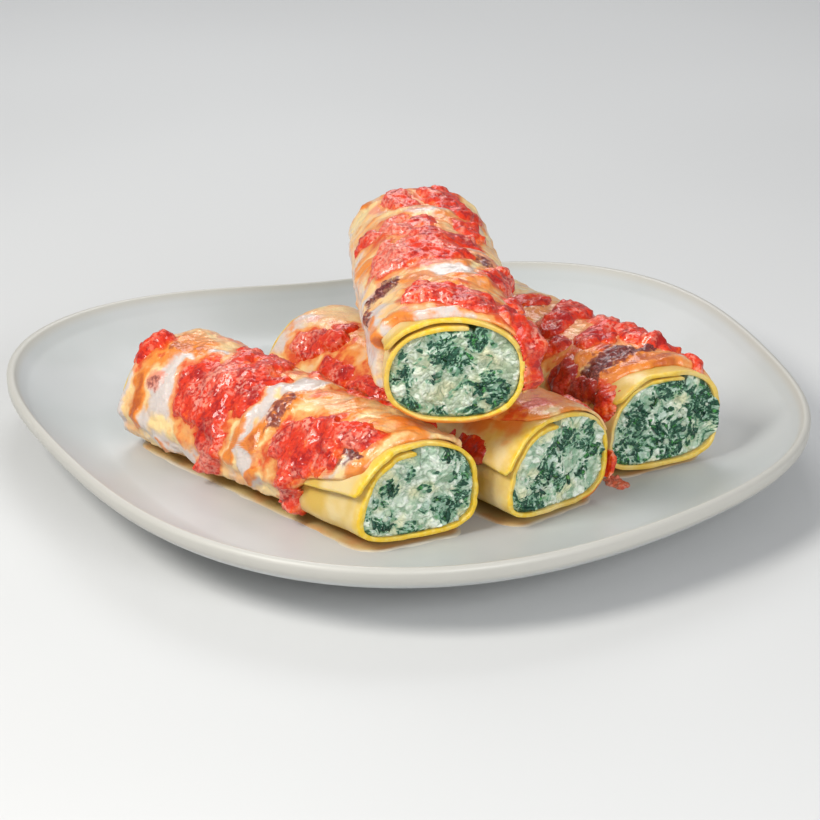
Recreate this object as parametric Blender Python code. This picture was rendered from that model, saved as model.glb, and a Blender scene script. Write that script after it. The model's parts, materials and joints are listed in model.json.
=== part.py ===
"""Four baked spinach and ricotta cannelloni on the plate that holds them.

Three rolls lie side by side in the well of an organic, rounded plate and a fourth lies
across them. Each roll is a sheet of egg pasta wound in a spiral round its filling, with a
coat of baked white sauce over it and lumps of tomato sauce on the coat.
Frame: +X right, -Y front, +Z up, origin under the middle of the plate, on the table.
Lengths are in millimetres and are turned into metres as each mesh is made.
"""
import math

import bmesh
import bpy

MM = 0.001
GAP = 0.3                       # clearance between touching pieces

# Plate: a soft rounded outline, given by its mean radius and four slow waves.
PLATE_RADIUS = 120.5
PLATE_WAVES = ((2, 0.010, 42.0), (3, 0.060, 41.0), (4, 0.050, -24.0), (5, 0.015, -6.0))
PLATE_HEIGHT = 22.0
PLATE_STEPS = 60
WELL_FLOOR = 8.0
WELL_EDGE = 0.78                # share of the radius where the well starts to rise
LIP_WIDTH = 4.0
LIP_DROP = 4.5                  # height of the steep outer edge under the lip
FOOT_OUTER = 0.60
FOOT_INNER = 0.53
FOOT_HEIGHT = 2.5
FLOOR_THICKNESS = 5.0

# Pasta sheet and roll
SHEET = 1.5                     # thickness of the cooked sheet
SHEET_TURN = 440.0              # degrees of spiral, so the two ends overlap on top
SHEET_STEPS = 36
TOP_POWER = 2.25                # the upper half of a roll is nearly elliptical
BOTTOM_POWER = 3.4              # and the lower half sags flat
END_RAMP = 26.0                 # stretch over which the cut end turns out of square
FILLING_RECESS = 0.8
FILLING_STEPS = 30

# Coat of white sauce
COAT = 1.8
COAT_EDGE = 0.7
COAT_STEPS_ROUND = 14
COAT_STEPS_ALONG = 8
COAT_FADE = 12.0                # degrees past the coat over which a lump drops to the pasta

# Lumps of tomato sauce
LUMP_RINGS = (0.45, 0.8, 1.0)
LUMP_STEPS = 12

REST = WELL_FLOOR + GAP         # height of the underside of the three lower rolls
UPPER_REST = 41.8               # height of the underside of the roll on top

COLOURS = {
    "plate": (0.62, 0.63, 0.62, 0.12),
    "pasta": (0.85, 0.58, 0.12, 0.40),
    "filling": (0.42, 0.52, 0.40, 0.60),
    "sauce": (0.83, 0.62, 0.38, 0.35),
    "tomato": (0.70, 0.06, 0.03, 0.25),
}


class Roll:
    """One cannellone: a straight axis with a flattened, rounded section."""

    def __init__(self, name, rear, front, rest, width, height, end_turn=0.0,
                 flap=165.0, pitch=1.9, coat=(150.0, 40.0), coat_ends=(3.0, 14.0)):
        self.name = name
        self.rest = rest
        self.half_width = width / 2
        self.half_height = height / 2
        self.end_turn = end_turn
        self.flap = flap
        self.pitch = pitch
        self.coat = coat
        self.coat_ends = coat_ends
        run = (front[0] - rear[0], front[1] - rear[1])
        self.length = math.hypot(*run)
        self.rear = rear
        self.ahead = (run[0] / self.length, run[1] / self.length)
        self.aside = (-self.ahead[1], self.ahead[0])

    def section(self, angle, offset):
        """Point of the section at an angle from its right side, moved out by an offset."""
        turn = math.radians(angle)
        across, up = math.cos(turn), math.sin(turn)
        power = TOP_POWER if up > 0 else BOTTOM_POWER
        reach = (abs(across) ** power + abs(up) ** power) ** (-1 / power)
        side, rise = self.half_width * reach * across, self.half_height * reach * up
        slope_x = math.copysign(abs(reach * across) ** (power - 1) / self.half_width, across)
        slope_z = math.copysign(abs(reach * up) ** (power - 1) / self.half_height, up)
        scale = offset / math.hypot(slope_x, slope_z)
        return side + scale * slope_x, rise + scale * slope_z

    def point(self, along, angle, offset):
        """World point at a distance from the rear end, an angle and an offset outwards."""
        side, rise = self.section(angle, offset)
        ramp = max(0.0, (along - self.length + END_RAMP) / END_RAMP)
        reach = along + ramp * side * math.tan(math.radians(self.end_turn))
        return (self.rear[0] + reach * self.ahead[0] + side * self.aside[0],
                self.rear[1] + reach * self.ahead[1] + side * self.aside[1],
                self.rest + self.half_height + rise)


ROLLS = (
    Roll("left", (-74.0, 4.0), (1.0, -80.2), REST, 38.5, 30.5, 15.0,
         flap=182.0, pitch=2.4, coat=(172.0, 44.0), coat_ends=(2.0, 13.0)),
    Roll("middle", (-30.8, 26.3), (40.5, -61.0), REST, 40.6, 31.0, -2.0,
         flap=168.0, pitch=2.3, coat=(140.0, 26.0), coat_ends=(2.0, 20.0)),
    Roll("right", (11.5, 63.0), (73.0, -28.0), REST, 41.0, 31.0, 4.0,
         flap=155.0, pitch=1.9, coat=(148.0, 22.0), coat_ends=(2.0, 12.0)),
    Roll("top", (0.0, 42.0), (10.2, -72.8), UPPER_REST, 41.0, 30.5, 2.0,
         flap=158.0, pitch=2.2, coat=(150.0, 10.0), coat_ends=(2.0, 13.0)),
)


def plate_radius(angle, share=1.0):
    """Radius of the plate's outline, rounder towards the middle (share < 1)."""
    waves = sum(size * math.cos(math.radians(count * (angle - phase)))
                for count, size, phase in PLATE_WAVES)
    return PLATE_RADIUS * share * (1 + share * waves)


def plate_centre():
    """Middle of the outline's bounding box, which becomes the origin."""
    spots = [(plate_radius(a) * math.cos(math.radians(a)), plate_radius(a) * math.sin(math.radians(a)))
             for a in range(360)]
    xs, ys = zip(*spots)
    return (min(xs) + max(xs)) / 2, (min(ys) + max(ys)) / 2


CENTRE = plate_centre()


def material(kind):
    """Principled material of one kind of food or of the plate."""
    found = bpy.data.materials.get(kind)
    if found:
        return found
    red, green, blue, roughness = COLOURS[kind]
    made = bpy.data.materials.new(kind)
    made.use_nodes = True
    shader = made.node_tree.nodes["Principled BSDF"]
    shader.inputs["Base Color"].default_value = (red, green, blue, 1)
    shader.inputs["Roughness"].default_value = roughness
    shader.inputs["Metallic"].default_value = 0
    return made


def solid(name, points, faces, kind):
    """Make one closed object from points in millimetres and faces of point numbers."""
    mesh = bpy.data.meshes.new(name)
    shape = bmesh.new()
    corners = [shape.verts.new(((x - CENTRE[0]) * MM, (y - CENTRE[1]) * MM, z * MM)) for x, y, z in points]
    for face in faces:
        shape.faces.new([corners[i] for i in face])
    bmesh.ops.recalc_face_normals(shape, faces=shape.faces)
    bmesh.ops.triangulate(shape, faces=shape.faces)
    shape.to_mesh(mesh)
    shape.free()
    mesh.materials.append(material(kind))
    mesh.shade_smooth()
    mesh.set_sharp_from_angle(angle=math.radians(40))
    placed = bpy.data.objects.new(name, mesh)
    bpy.context.scene.collection.objects.link(placed)
    return placed


def ring_faces(lower, upper, count):
    """Quads between two closed rings of points, given their first numbers."""
    return [(lower + i, lower + (i + 1) % count, upper + (i + 1) % count, upper + i)
            for i in range(count)]


def fan_faces(centre, ring, count):
    """Triangles from a centre point to a closed ring."""
    return [(centre, ring + i, ring + (i + 1) % count) for i in range(count)]


def well_height(share):
    """Height of the eating surface at a share of the radius."""
    rise = max(0.0, (share - WELL_EDGE) / (1 - WELL_EDGE))
    return WELL_FLOOR + (PLATE_HEIGHT - WELL_FLOOR) * rise ** 1.6


def plate_profile():
    """Radius shares and heights from the middle of the well over the lip to the foot."""
    lip = LIP_WIDTH / PLATE_RADIUS
    inner = [(share, well_height(share)) for share in (0.4, WELL_EDGE, 0.84, 0.90, 0.945)]
    low = PLATE_HEIGHT - LIP_DROP
    rim = [(1 - lip, PLATE_HEIGHT - 0.7), (1 - lip * 0.6, PLATE_HEIGHT), (1 - lip * 0.25, PLATE_HEIGHT - 0.2),
           (1.0, PLATE_HEIGHT - 1.6), (0.998, low)]
    under = [(0.96, low - 4.2), (0.88, low - 8.6), (0.76, low - 12.2), (FOOT_OUTER + 0.02, FOOT_HEIGHT),
             (FOOT_OUTER, 0.0), (FOOT_INNER, 0.0), (FOOT_INNER - 0.02, WELL_FLOOR - FLOOR_THICKNESS)]
    return inner + rim + under


def make_plate():
    """The plate, turned round its outline."""
    points = [(0, 0, WELL_FLOOR)]
    faces = []
    for share, height in plate_profile():
        for i in range(PLATE_STEPS):
            angle = 360 * i / PLATE_STEPS
            radius = plate_radius(angle, share)
            points.append((radius * math.cos(math.radians(angle)), radius * math.sin(math.radians(angle)), height))
    rings = len(plate_profile())
    faces += fan_faces(0, 1, PLATE_STEPS)
    for i in range(rings - 1):
        faces += ring_faces(1 + i * PLATE_STEPS, 1 + (i + 1) * PLATE_STEPS, PLATE_STEPS)
    points.append((0, 0, WELL_FLOOR - FLOOR_THICKNESS))
    faces += fan_faces(len(points) - 1, 1 + (rings - 1) * PLATE_STEPS, PLATE_STEPS)
    solid("plate", points, faces, "plate")


def make_pasta(roll):
    """The rolled sheet, from its outer end clockwise to its inner end."""
    stations = (0.0, (roll.length - END_RAMP) / 2, roll.length - END_RAMP, roll.length)
    points, faces = [], []
    for along in stations:
        for i in range(SHEET_STEPS + 1):
            turned = SHEET_TURN * i / SHEET_STEPS
            depth = roll.pitch * turned / 360
            points.append(roll.point(along, roll.flap - turned, -depth))
            points.append(roll.point(along, roll.flap - turned, -depth - SHEET))
    count = 2 * (SHEET_STEPS + 1)
    loop = list(range(0, count, 2)) + list(range(count - 1, 0, -2))
    for k in range(len(stations) - 1):
        base = k * count
        for here, there in zip(loop, loop[1:] + loop[:1]):
            faces.append((base + here, base + there, base + count + there, base + count + here))
    for base in (0, (len(stations) - 1) * count):
        for i in range(0, count - 2, 2):
            faces.append((base + i, base + i + 1, base + i + 3, base + i + 2))
    solid(f"pasta_{roll.name}", points, faces, "pasta")


def filling_depth(roll, turned):
    """Depth of the filling's surface below the roll's outline at an angle of the spiral."""
    overlap = SHEET_TURN - 360
    margin = 8.0
    inner_turn = turned + 360 if turned < overlap + margin else turned
    return SHEET + GAP + roll.pitch * min(inner_turn, SHEET_TURN) / 360


def make_filling(roll):
    """The ricotta and spinach that runs through the roll, just short of both ends."""
    stations = (FILLING_RECESS, roll.length - END_RAMP, roll.length - FILLING_RECESS)
    points, faces = [], []
    for along in stations:
        for i in range(FILLING_STEPS):
            turned = 360 * i / FILLING_STEPS
            points.append(roll.point(along, roll.flap - turned, -filling_depth(roll, turned)))
    for k in range(len(stations) - 1):
        faces += ring_faces(k * FILLING_STEPS, (k + 1) * FILLING_STEPS, FILLING_STEPS)
    for k in (0, len(stations) - 1):
        ends = points[k * FILLING_STEPS:(k + 1) * FILLING_STEPS]
        points.append(tuple(sum(p[j] for p in ends) / FILLING_STEPS for j in range(3)))
        faces += fan_faces(len(points) - 1, k * FILLING_STEPS, FILLING_STEPS)
    solid(f"filling_{roll.name}", points, faces, "filling")


def coat_span(roll, share):
    """Rear and front end of the coat at a share of the way round, with a wavy border."""
    rear = roll.coat_ends[0] + 1.2 * math.sin(9.0 * share + 1.0)
    front = roll.length - roll.coat_ends[1] + 3.0 * math.sin(7.0 * share) + 1.5 * math.sin(17.0 * share + 2.0)
    return rear, front


def coat_thickness(along_share, round_share):
    """Thickness of the coat: thin at its borders, uneven in between."""
    border = (1 - abs(2 * along_share - 1) ** 6) * (1 - abs(2 * round_share - 1) ** 4)
    uneven = 0.85 + 0.15 * math.sin(11 * along_share + 5 * round_share)
    return COAT_EDGE + (COAT - COAT_EDGE) * border * uneven


def make_coat(roll):
    """The baked white sauce over the top of the roll."""
    points, faces = [], []
    rows, columns = COAT_STEPS_ROUND + 1, COAT_STEPS_ALONG + 1
    for side in (0, 1):
        for i in range(rows):
            round_share = i / COAT_STEPS_ROUND
            angle = roll.coat[0] + (roll.coat[1] - roll.coat[0]) * round_share
            rear, front = coat_span(roll, round_share)
            for j in range(columns):
                share = j / COAT_STEPS_ALONG
                offset = GAP + side * coat_thickness(share, round_share)
                points.append(roll.point(rear + (front - rear) * share, angle, offset))
    layer = rows * columns
    for side in (0, 1):
        for i in range(rows - 1):
            for j in range(columns - 1):
                corner = side * layer + i * columns + j
                faces.append((corner, corner + 1, corner + columns + 1, corner + columns))
    border = [(0, j) for j in range(columns)] + [(i, columns - 1) for i in range(1, rows)]
    border += [(rows - 1, j) for j in range(columns - 2, -1, -1)] + [(i, 0) for i in range(rows - 2, 0, -1)]
    numbers = [i * columns + j for i, j in border]
    for here, there in zip(numbers, numbers[1:] + numbers[:1]):
        faces.append((here, there, there + layer, here + layer))
    solid(f"sauce_{roll.name}", points, faces, "sauce")


def cover(roll, angle):
    """Height of what a lump lies on: the coat, fading to bare pasta past its borders."""
    past = max(angle - roll.coat[0], roll.coat[1] - angle, 0.0)
    return GAP + (COAT + GAP) * max(0.0, 1 - past / COAT_FADE)


def lump_outline(turn, seed):
    """Reach of a lump's uneven border in one direction."""
    return 1 + 0.14 * math.sin(3 * turn + seed) + 0.08 * math.cos(5 * turn + 2 * seed)


def lump_rise(ring):
    """Share of a lump's height at a ring, with a blunt edge."""
    return max(1 - ring ** 2.5, 0.0) + (0.35 if ring == LUMP_RINGS[-1] else 0.0)


def lump_faces():
    """Faces of a lump: an under side, an upper side and the rim that joins them."""
    faces = []
    layer = len(LUMP_RINGS) * LUMP_STEPS
    for side in (0, 1):
        first = 2 + side * layer
        faces += fan_faces(side, first, LUMP_STEPS)
        for k in range(len(LUMP_RINGS) - 1):
            faces += ring_faces(first + k * LUMP_STEPS, first + (k + 1) * LUMP_STEPS, LUMP_STEPS)
    lower = 2 + layer - LUMP_STEPS
    return faces + ring_faces(lower, lower + layer, LUMP_STEPS)


def make_lump(roll, name, along, angle, half_length, half_width, height):
    """A flattened lump of tomato sauce that follows the roll it lies on."""
    radius = (roll.half_width + roll.half_height) / 2
    points = [roll.point(along, angle, cover(roll, angle)),
              roll.point(along, angle, cover(roll, angle) + height)]
    for side in (0, 1):
        for ring in LUMP_RINGS:
            for i in range(LUMP_STEPS):
                turn = 2 * math.pi * i / LUMP_STEPS
                reach = ring * lump_outline(turn, along)
                place = angle + math.degrees(reach * half_width * math.sin(turn) / radius)
                offset = cover(roll, place) + side * height * lump_rise(ring)
                points.append(roll.point(along + reach * half_length * math.cos(turn), place, offset))
    solid(f"tomato_{roll.name}_{name}", points, lump_faces(), "tomato")


def make_floor_lump(name, x, y, half_length, half_width, height, heading):
    """A lump of tomato sauce that lies on the plate beside a roll."""
    points = [(x, y, REST), (x, y, REST + height)]
    cos, sin = math.cos(math.radians(heading)), math.sin(math.radians(heading))
    for side in (0, 1):
        for ring in LUMP_RINGS:
            for i in range(LUMP_STEPS):
                turn = 2 * math.pi * i / LUMP_STEPS
                reach = ring * lump_outline(turn, heading)
                ahead, aside = reach * half_length * math.cos(turn), reach * half_width * math.sin(turn)
                points.append((x + ahead * cos - aside * sin, y + ahead * sin + aside * cos,
                               REST + side * height * lump_rise(ring)))
    solid(f"tomato_{name}", points, lump_faces(), "tomato")


# Lumps on the rolls: name, distance from the rear end, angle round the roll, half length
# along the roll, half width round it, and height.
LUMPS = {
    "left": (("rear", 6, 118, 4.5, 5.0, 2.6), ("main", 44, 134, 11, 9.0, 3.4),
             ("lower", 48, 186, 4.0, 4.0, 2.2), ("ridge", 38, 78, 8.0, 4.5, 2.2),
             ("valley", 60, 54, 9.0, 3.2, 1.6), ("second", 88, 126, 11, 9.0, 3.0),
             ("drip", 80, 189, 3.5, 6.0, 2.4)),
    "middle": (("rear", 13, 122, 7.0, 5.0, 2.4),),
    "right": (("back", 43, 96, 4.0, 6.0, 2.0), ("chunk", 56, 72, 6.0, 5.2, 3.0),
              ("near", 62, 117, 5.5, 4.8, 2.6), ("crown", 79, 86, 7.0, 6.2, 2.8),
              ("dark", 80, 134, 6.0, 3.8, 2.2), ("crest", 97, 74, 6.0, 4.5, 3.0)),
    "top": (("rear", 13, 64, 9.0, 9.0, 2.8), ("stripe", 40, 114, 5.0, 8.0, 1.8),
            ("middle", 64, 92, 7.0, 11, 2.8), ("side", 78, 34, 7.0, 5.0, 2.4),
            ("front", 98, 94, 6.0, 12, 2.4), ("hanging", 109, 8, 5.5, 7.5, 4.0)),
}


def main():
    """Clear the scene and build every piece."""
    for old in list(bpy.data.objects):
        bpy.data.objects.remove(old)
    make_plate()
    for roll in ROLLS:
        make_pasta(roll)
        make_filling(roll)
        make_coat(roll)
        for lump in LUMPS[roll.name]:
            make_lump(roll, *lump)
    make_floor_lump("floor", 59.0, -41.5, 5.5, 2.6, 4.0, -55.0)


main()
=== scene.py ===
"""Looks of a plate of baked spinach and ricotta cannelloni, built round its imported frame.

Three rolls lie side by side in a rounded plate and a fourth lies across them. Every roll
is a sheet of egg pasta wound round a crumbly filling, under a baked white sauce and a
chunky tomato sauce. Lengths are in millimetres until a mesh is made, and then in metres.
"""

import itertools
import json
import logging
import math
from dataclasses import dataclass, field
from enum import Enum

import bmesh
import bpy
import numpy as np
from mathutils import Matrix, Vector

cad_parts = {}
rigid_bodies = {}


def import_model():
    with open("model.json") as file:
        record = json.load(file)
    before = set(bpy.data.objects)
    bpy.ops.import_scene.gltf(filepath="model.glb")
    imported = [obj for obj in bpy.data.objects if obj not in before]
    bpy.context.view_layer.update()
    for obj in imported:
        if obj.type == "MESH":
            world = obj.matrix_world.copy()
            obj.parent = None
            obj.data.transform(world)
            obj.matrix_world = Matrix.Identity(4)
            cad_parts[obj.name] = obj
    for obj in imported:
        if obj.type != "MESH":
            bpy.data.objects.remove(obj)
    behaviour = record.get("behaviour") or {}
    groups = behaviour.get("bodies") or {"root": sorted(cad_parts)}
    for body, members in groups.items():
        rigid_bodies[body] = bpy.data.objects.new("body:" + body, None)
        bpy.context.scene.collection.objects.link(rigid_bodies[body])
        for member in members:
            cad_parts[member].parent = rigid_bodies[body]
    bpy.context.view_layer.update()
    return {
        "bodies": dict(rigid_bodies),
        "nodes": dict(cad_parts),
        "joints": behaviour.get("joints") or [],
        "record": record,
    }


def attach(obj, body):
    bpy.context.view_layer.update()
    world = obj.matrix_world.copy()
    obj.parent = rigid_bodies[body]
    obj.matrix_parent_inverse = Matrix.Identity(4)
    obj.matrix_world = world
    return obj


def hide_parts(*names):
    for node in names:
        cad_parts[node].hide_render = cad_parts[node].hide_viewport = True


LOG = logging.getLogger("cannelloni")
MM = 0.001
BODY = "root"
MIDDLE = 0.5            # of a noise, or of any other number that runs from 0 to 1
NOISE_CELLS = 32        # a noise repeats after this many hills
PEBBLE_CELLS = 16       # pebbles repeat after this many
SHEET_THICKNESS = 1.35  # of the pasta
SHEET_TURN = 440.0      # degrees from a sheet's flap to its inner end
DEGREE = 0.33           # millimetres that one degree is round a roll


# ---------------------------------------------------------------- small tools

def linear(shade: str) -> tuple[float, float, float, float]:
    """Turn an sRGB hex colour into linear light.

    Args:
        shade: Colour as "#rrggbb".

    Returns:
        Red, green, blue and alpha for a shader socket.
    """
    parts = [int(shade[i:i + 2], 16) / 255 for i in (1, 3, 5)]
    light = [p / 12.92 if p <= 0.04045 else ((p + 0.055) / 1.055) ** 2.4 for p in parts]
    return (*light, 1.0)


def ease(low: float, high: float, value: np.ndarray) -> np.ndarray:
    """Step smoothly from 0 where the value is low to 1 where it is high."""
    share = np.clip((value - low) / (high - low), 0, 1)
    return share * share * (3 - 2 * share)


def places(*parts: np.ndarray | float) -> np.ndarray:
    """Join numbers, each given as a grid or as one number, along a last axis."""
    return np.stack(np.broadcast_arrays(*parts), -1)


def soft_noise(points: np.ndarray, size: float, seed: int) -> np.ndarray:
    """Smooth random field from -1 to 1.

    Args:
        points: Places, with three numbers in the last axis.
        size: Distance between neighbouring hills, in the unit of the points.
        seed: Which random field to read.

    Returns:
        One number for each place.
    """
    table = np.random.default_rng(seed).uniform(-1, 1, (NOISE_CELLS,) * 3)
    spot = points / size
    cell = np.floor(spot).astype(int)
    part = spot - cell
    part = part * part * (3 - 2 * part)
    total = np.zeros(points.shape[:-1])
    for corner in itertools.product((0, 1), repeat=3):
        index = (cell + corner) % NOISE_CELLS
        weight = np.prod(np.where(corner, part, 1 - part), axis=-1)
        total += weight * table[index[..., 0], index[..., 1], index[..., 2]]
    return total


def rough_noise(points: np.ndarray, size: float, seed: int, layers: int = 3) -> np.ndarray:
    """Sum smooth fields, each half as large and as strong as the last: mostly -1 to 1."""
    return sum(soft_noise(points, size / 2 ** k, seed + 7 * k) / 2 ** k for k in range(layers))


def sway(points: np.ndarray, size: float, seeds: tuple[int, int]) -> np.ndarray:
    """Move places roughly sideways by up to about 1, so that a pattern keeps no straight line."""
    return places(*(rough_noise(points, size, seed) for seed in seeds), 0)


def pebbles(points: np.ndarray, size: float, seed: int) -> tuple[np.ndarray, np.ndarray]:
    """Cells round scattered centres, as in packed curds.

    Args:
        points: Places, with three numbers in the last axis.
        size: Mean distance between two centres.
        seed: Which set of centres to use.

    Returns:
        Height of a round pebble in each cell, 0 at its border, and the cell's random number.
    """
    table = np.random.default_rng(seed).uniform(0, 1, (*(PEBBLE_CELLS,) * 3, 4))
    spot = points / size
    cell = np.floor(spot).astype(int)
    nearest = np.full(points.shape[:-1], 9.0)
    second = nearest.copy()
    tag = np.zeros(points.shape[:-1])
    for step in itertools.product((-1, 0, 1), repeat=3):
        index = (cell + step) % PEBBLE_CELLS
        found = table[index[..., 0], index[..., 1], index[..., 2]]
        gap = np.linalg.norm(cell + step + found[..., :3] - spot, axis=-1)
        closer = gap < nearest
        second = np.where(closer, nearest, np.minimum(second, gap))
        tag = np.where(closer, found[..., 3], tag)
        nearest = np.where(closer, gap, nearest)
    return np.clip(second - nearest, 0, 1), tag


def put_in_scene(name: str, data: bpy.types.ID) -> bpy.types.Object:
    """Make an object of some data, linked to the scene at the origin.

    Args:
        name: Name of the object.
        data: Its mesh, light or camera.

    Returns:
        The object.
    """
    thing = bpy.data.objects.new(name, data)
    bpy.context.scene.collection.objects.link(thing)
    return thing


def make_mesh(name: str, points: np.ndarray, faces: np.ndarray | list,
              marks: dict[str, np.ndarray] | None = None, closed: bool = True) -> bpy.types.Object:
    """Make an object, which is smooth and has normals that point out if it is closed.

    Args:
        name: Name of the object.
        points: Corner places in millimetres, one row each.
        faces: Corner numbers of each face.
        marks: Numbers kept on the corners for the materials to read, by attribute name.
        closed: False for an open patch, which stays flat and turned as it is given.

    Returns:
        The object, linked to the scene at the origin.
    """
    mesh = bpy.data.meshes.new(name)
    mesh.from_pydata((np.asarray(points, dtype=float) * MM).tolist(), [],
                     faces.tolist() if isinstance(faces, np.ndarray) else faces)
    for mark, values in (marks or {}).items():
        layer = mesh.attributes.new(mark, "FLOAT", "POINT")
        layer.data.foreach_set("value", np.ascontiguousarray(values, dtype=np.float32).ravel())
    if closed:
        shape = bmesh.new()
        shape.from_mesh(mesh)
        bmesh.ops.recalc_face_normals(shape, faces=shape.faces)
        shape.to_mesh(mesh)
        shape.free()
        mesh.shade_smooth()
    return put_in_scene(name, mesh)


def loop_quads(rows: int, columns: int) -> np.ndarray:
    """Quads of a grid whose columns close into a ring.

    Args:
        rows: Number of rings.
        columns: Corners in each ring.

    Returns:
        Four corner numbers for each face.
    """
    row, column = np.meshgrid(np.arange(rows - 1), np.arange(columns), indexing="ij")
    here = row * columns + column
    there = row * columns + (column + 1) % columns
    return places(here, there, there + columns, here + columns).reshape(-1, 4)


def grid_quads(rows: int, columns: int, start: int = 0) -> np.ndarray:
    """Quads of an open grid whose first corner has the number start."""
    corner = start + np.arange(rows * columns).reshape(rows, columns)
    return places(corner[:-1, :-1], corner[:-1, 1:], corner[1:, 1:], corner[1:, :-1]).reshape(-1, 4)


def whole_cells(near: np.ndarray) -> np.ndarray:
    """Find the cells of a grid that have all four corners inside.

    Args:
        near: Which places of the grid are inside.

    Returns:
        Which cells to build, with one added where two would touch only at a corner.
    """
    keep = near[:-1, :-1] & near[:-1, 1:] & near[1:, :-1] & near[1:, 1:]
    for _ in range(3):
        here, right, down, both = keep[:-1, :-1], keep[:-1, 1:], keep[1:, :-1], keep[1:, 1:]
        falling, rising = here & both & ~right & ~down, right & down & ~here & ~both
        keep[:-1, 1:] |= falling
        keep[:-1, :-1] |= rising
    return keep


def shell_mesh(name: str, outer: np.ndarray, inner: np.ndarray,
               marks: dict[str, np.ndarray] | None = None,
               near: np.ndarray | None = None) -> bpy.types.Object:
    """Make a closed shell from an outer and an inner grid of the same shape.

    Args:
        name: Name of the object.
        outer: Outer places, rows by columns by 3.
        inner: Inner places of the same shape.
        marks: Numbers for each place of the outer grid, which the inner grid repeats.
        near: Which places of the grid the shell covers, or None for all.

    Returns:
        The object.
    """
    rows, columns = outer.shape[:2]
    layer = rows * columns
    cells = grid_quads(rows, columns)
    if near is not None:
        cells = cells[whole_cells(near).ravel()]
    edges = cells[:, [0, 1, 1, 2, 2, 3, 3, 0]].reshape(-1, 2)
    border = edges[~np.isin(edges[:, 0] * layer + edges[:, 1], edges[:, 1] * layer + edges[:, 0])]
    rim = places(border[:, 1], border[:, 0], border[:, 0] + layer, border[:, 1] + layer)
    used, faces = np.unique(np.concatenate([cells, cells[:, ::-1] + layer, rim]), return_inverse=True)
    points = np.concatenate([outer.reshape(-1, 3), inner.reshape(-1, 3)])[used]
    doubled = {mark: np.tile(values.ravel(), 2)[used] for mark, values in (marks or {}).items()}
    return make_mesh(name, points, faces.reshape(-1, 4), doubled)


def settle(thing: bpy.types.Object) -> bpy.types.Object:
    """Apply every modifier of an object, and return the plain object that takes its place.

    Args:
        thing: Object with live modifiers.

    Returns:
        The plain object, with the same name.
    """
    bpy.context.view_layer.update()
    graph = bpy.context.evaluated_depsgraph_get()
    mesh = bpy.data.meshes.new_from_object(thing.evaluated_get(graph))
    name = thing.name
    bpy.data.objects.remove(thing)
    return put_in_scene(name, mesh)


def hand_over(piece: bpy.types.Object, finish: bpy.types.Material | None, slot: str,
              *stands_for: str) -> None:
    """Dress a finished piece and give it to the frame.

    Args:
        piece: The finished object.
        finish: Material of the whole piece, or None where the mesh already has its own.
        slot: The record's material slot for the piece.
        stands_for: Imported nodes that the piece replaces.
    """
    if finish is not None:
        piece.data.materials.clear()
        piece.data.materials.append(finish)
    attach(piece, BODY)
    if stands_for:
        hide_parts(*stands_for)
    LOG.info("%s: %d faces, slot %s, stands for %s", piece.name, len(piece.data.polygons), slot,
             ", ".join(stands_for) or "nothing")


# ---------------------------------------------------------------- finishes

class Slot(Enum):
    """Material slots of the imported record."""

    PLATE = "plate_glaze"
    PASTA = "pasta"
    FILLING = "filling"
    WHITE = "white_sauce"
    TOMATO = "tomato_sauce"


def add_node(tree: bpy.types.NodeTree, kind: str, inputs: dict | None = None,
             stops: tuple[tuple[float, str], ...] = (), **settings) -> bpy.types.Node:
    """Add a node with its settings, its values and its links.

    Args:
        tree: Tree that the node joins.
        kind: Blender's name of the node type.
        inputs: Value or source socket for each input, by name or number.
        stops: Position and hex colour of each stop, in order, on a colour ramp.
        settings: Properties of the node.

    Returns:
        The node.
    """
    made = tree.nodes.new(kind)
    for setting, value in settings.items():
        setattr(made, setting, value)
    for key, value in (inputs or {}).items():
        if isinstance(value, bpy.types.NodeSocket):
            tree.links.new(value, made.inputs[key])
        else:
            made.inputs[key].default_value = value
    if stops:
        stripe = made.color_ramp.elements
        while len(stripe) < len(stops):
            stripe.new(1.0)
        for stop, (position, shade) in zip(stripe, stops):
            stop.position = position
            stop.color = linear(shade)
    return made


@dataclass(frozen=True)
class Share:
    """How much of a layer shows: smoothly from start to end as a number goes from low to high."""

    number: bpy.types.NodeSocket | str
    low: float
    high: float
    end: float = 1.0
    start: float = 0.0


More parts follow.
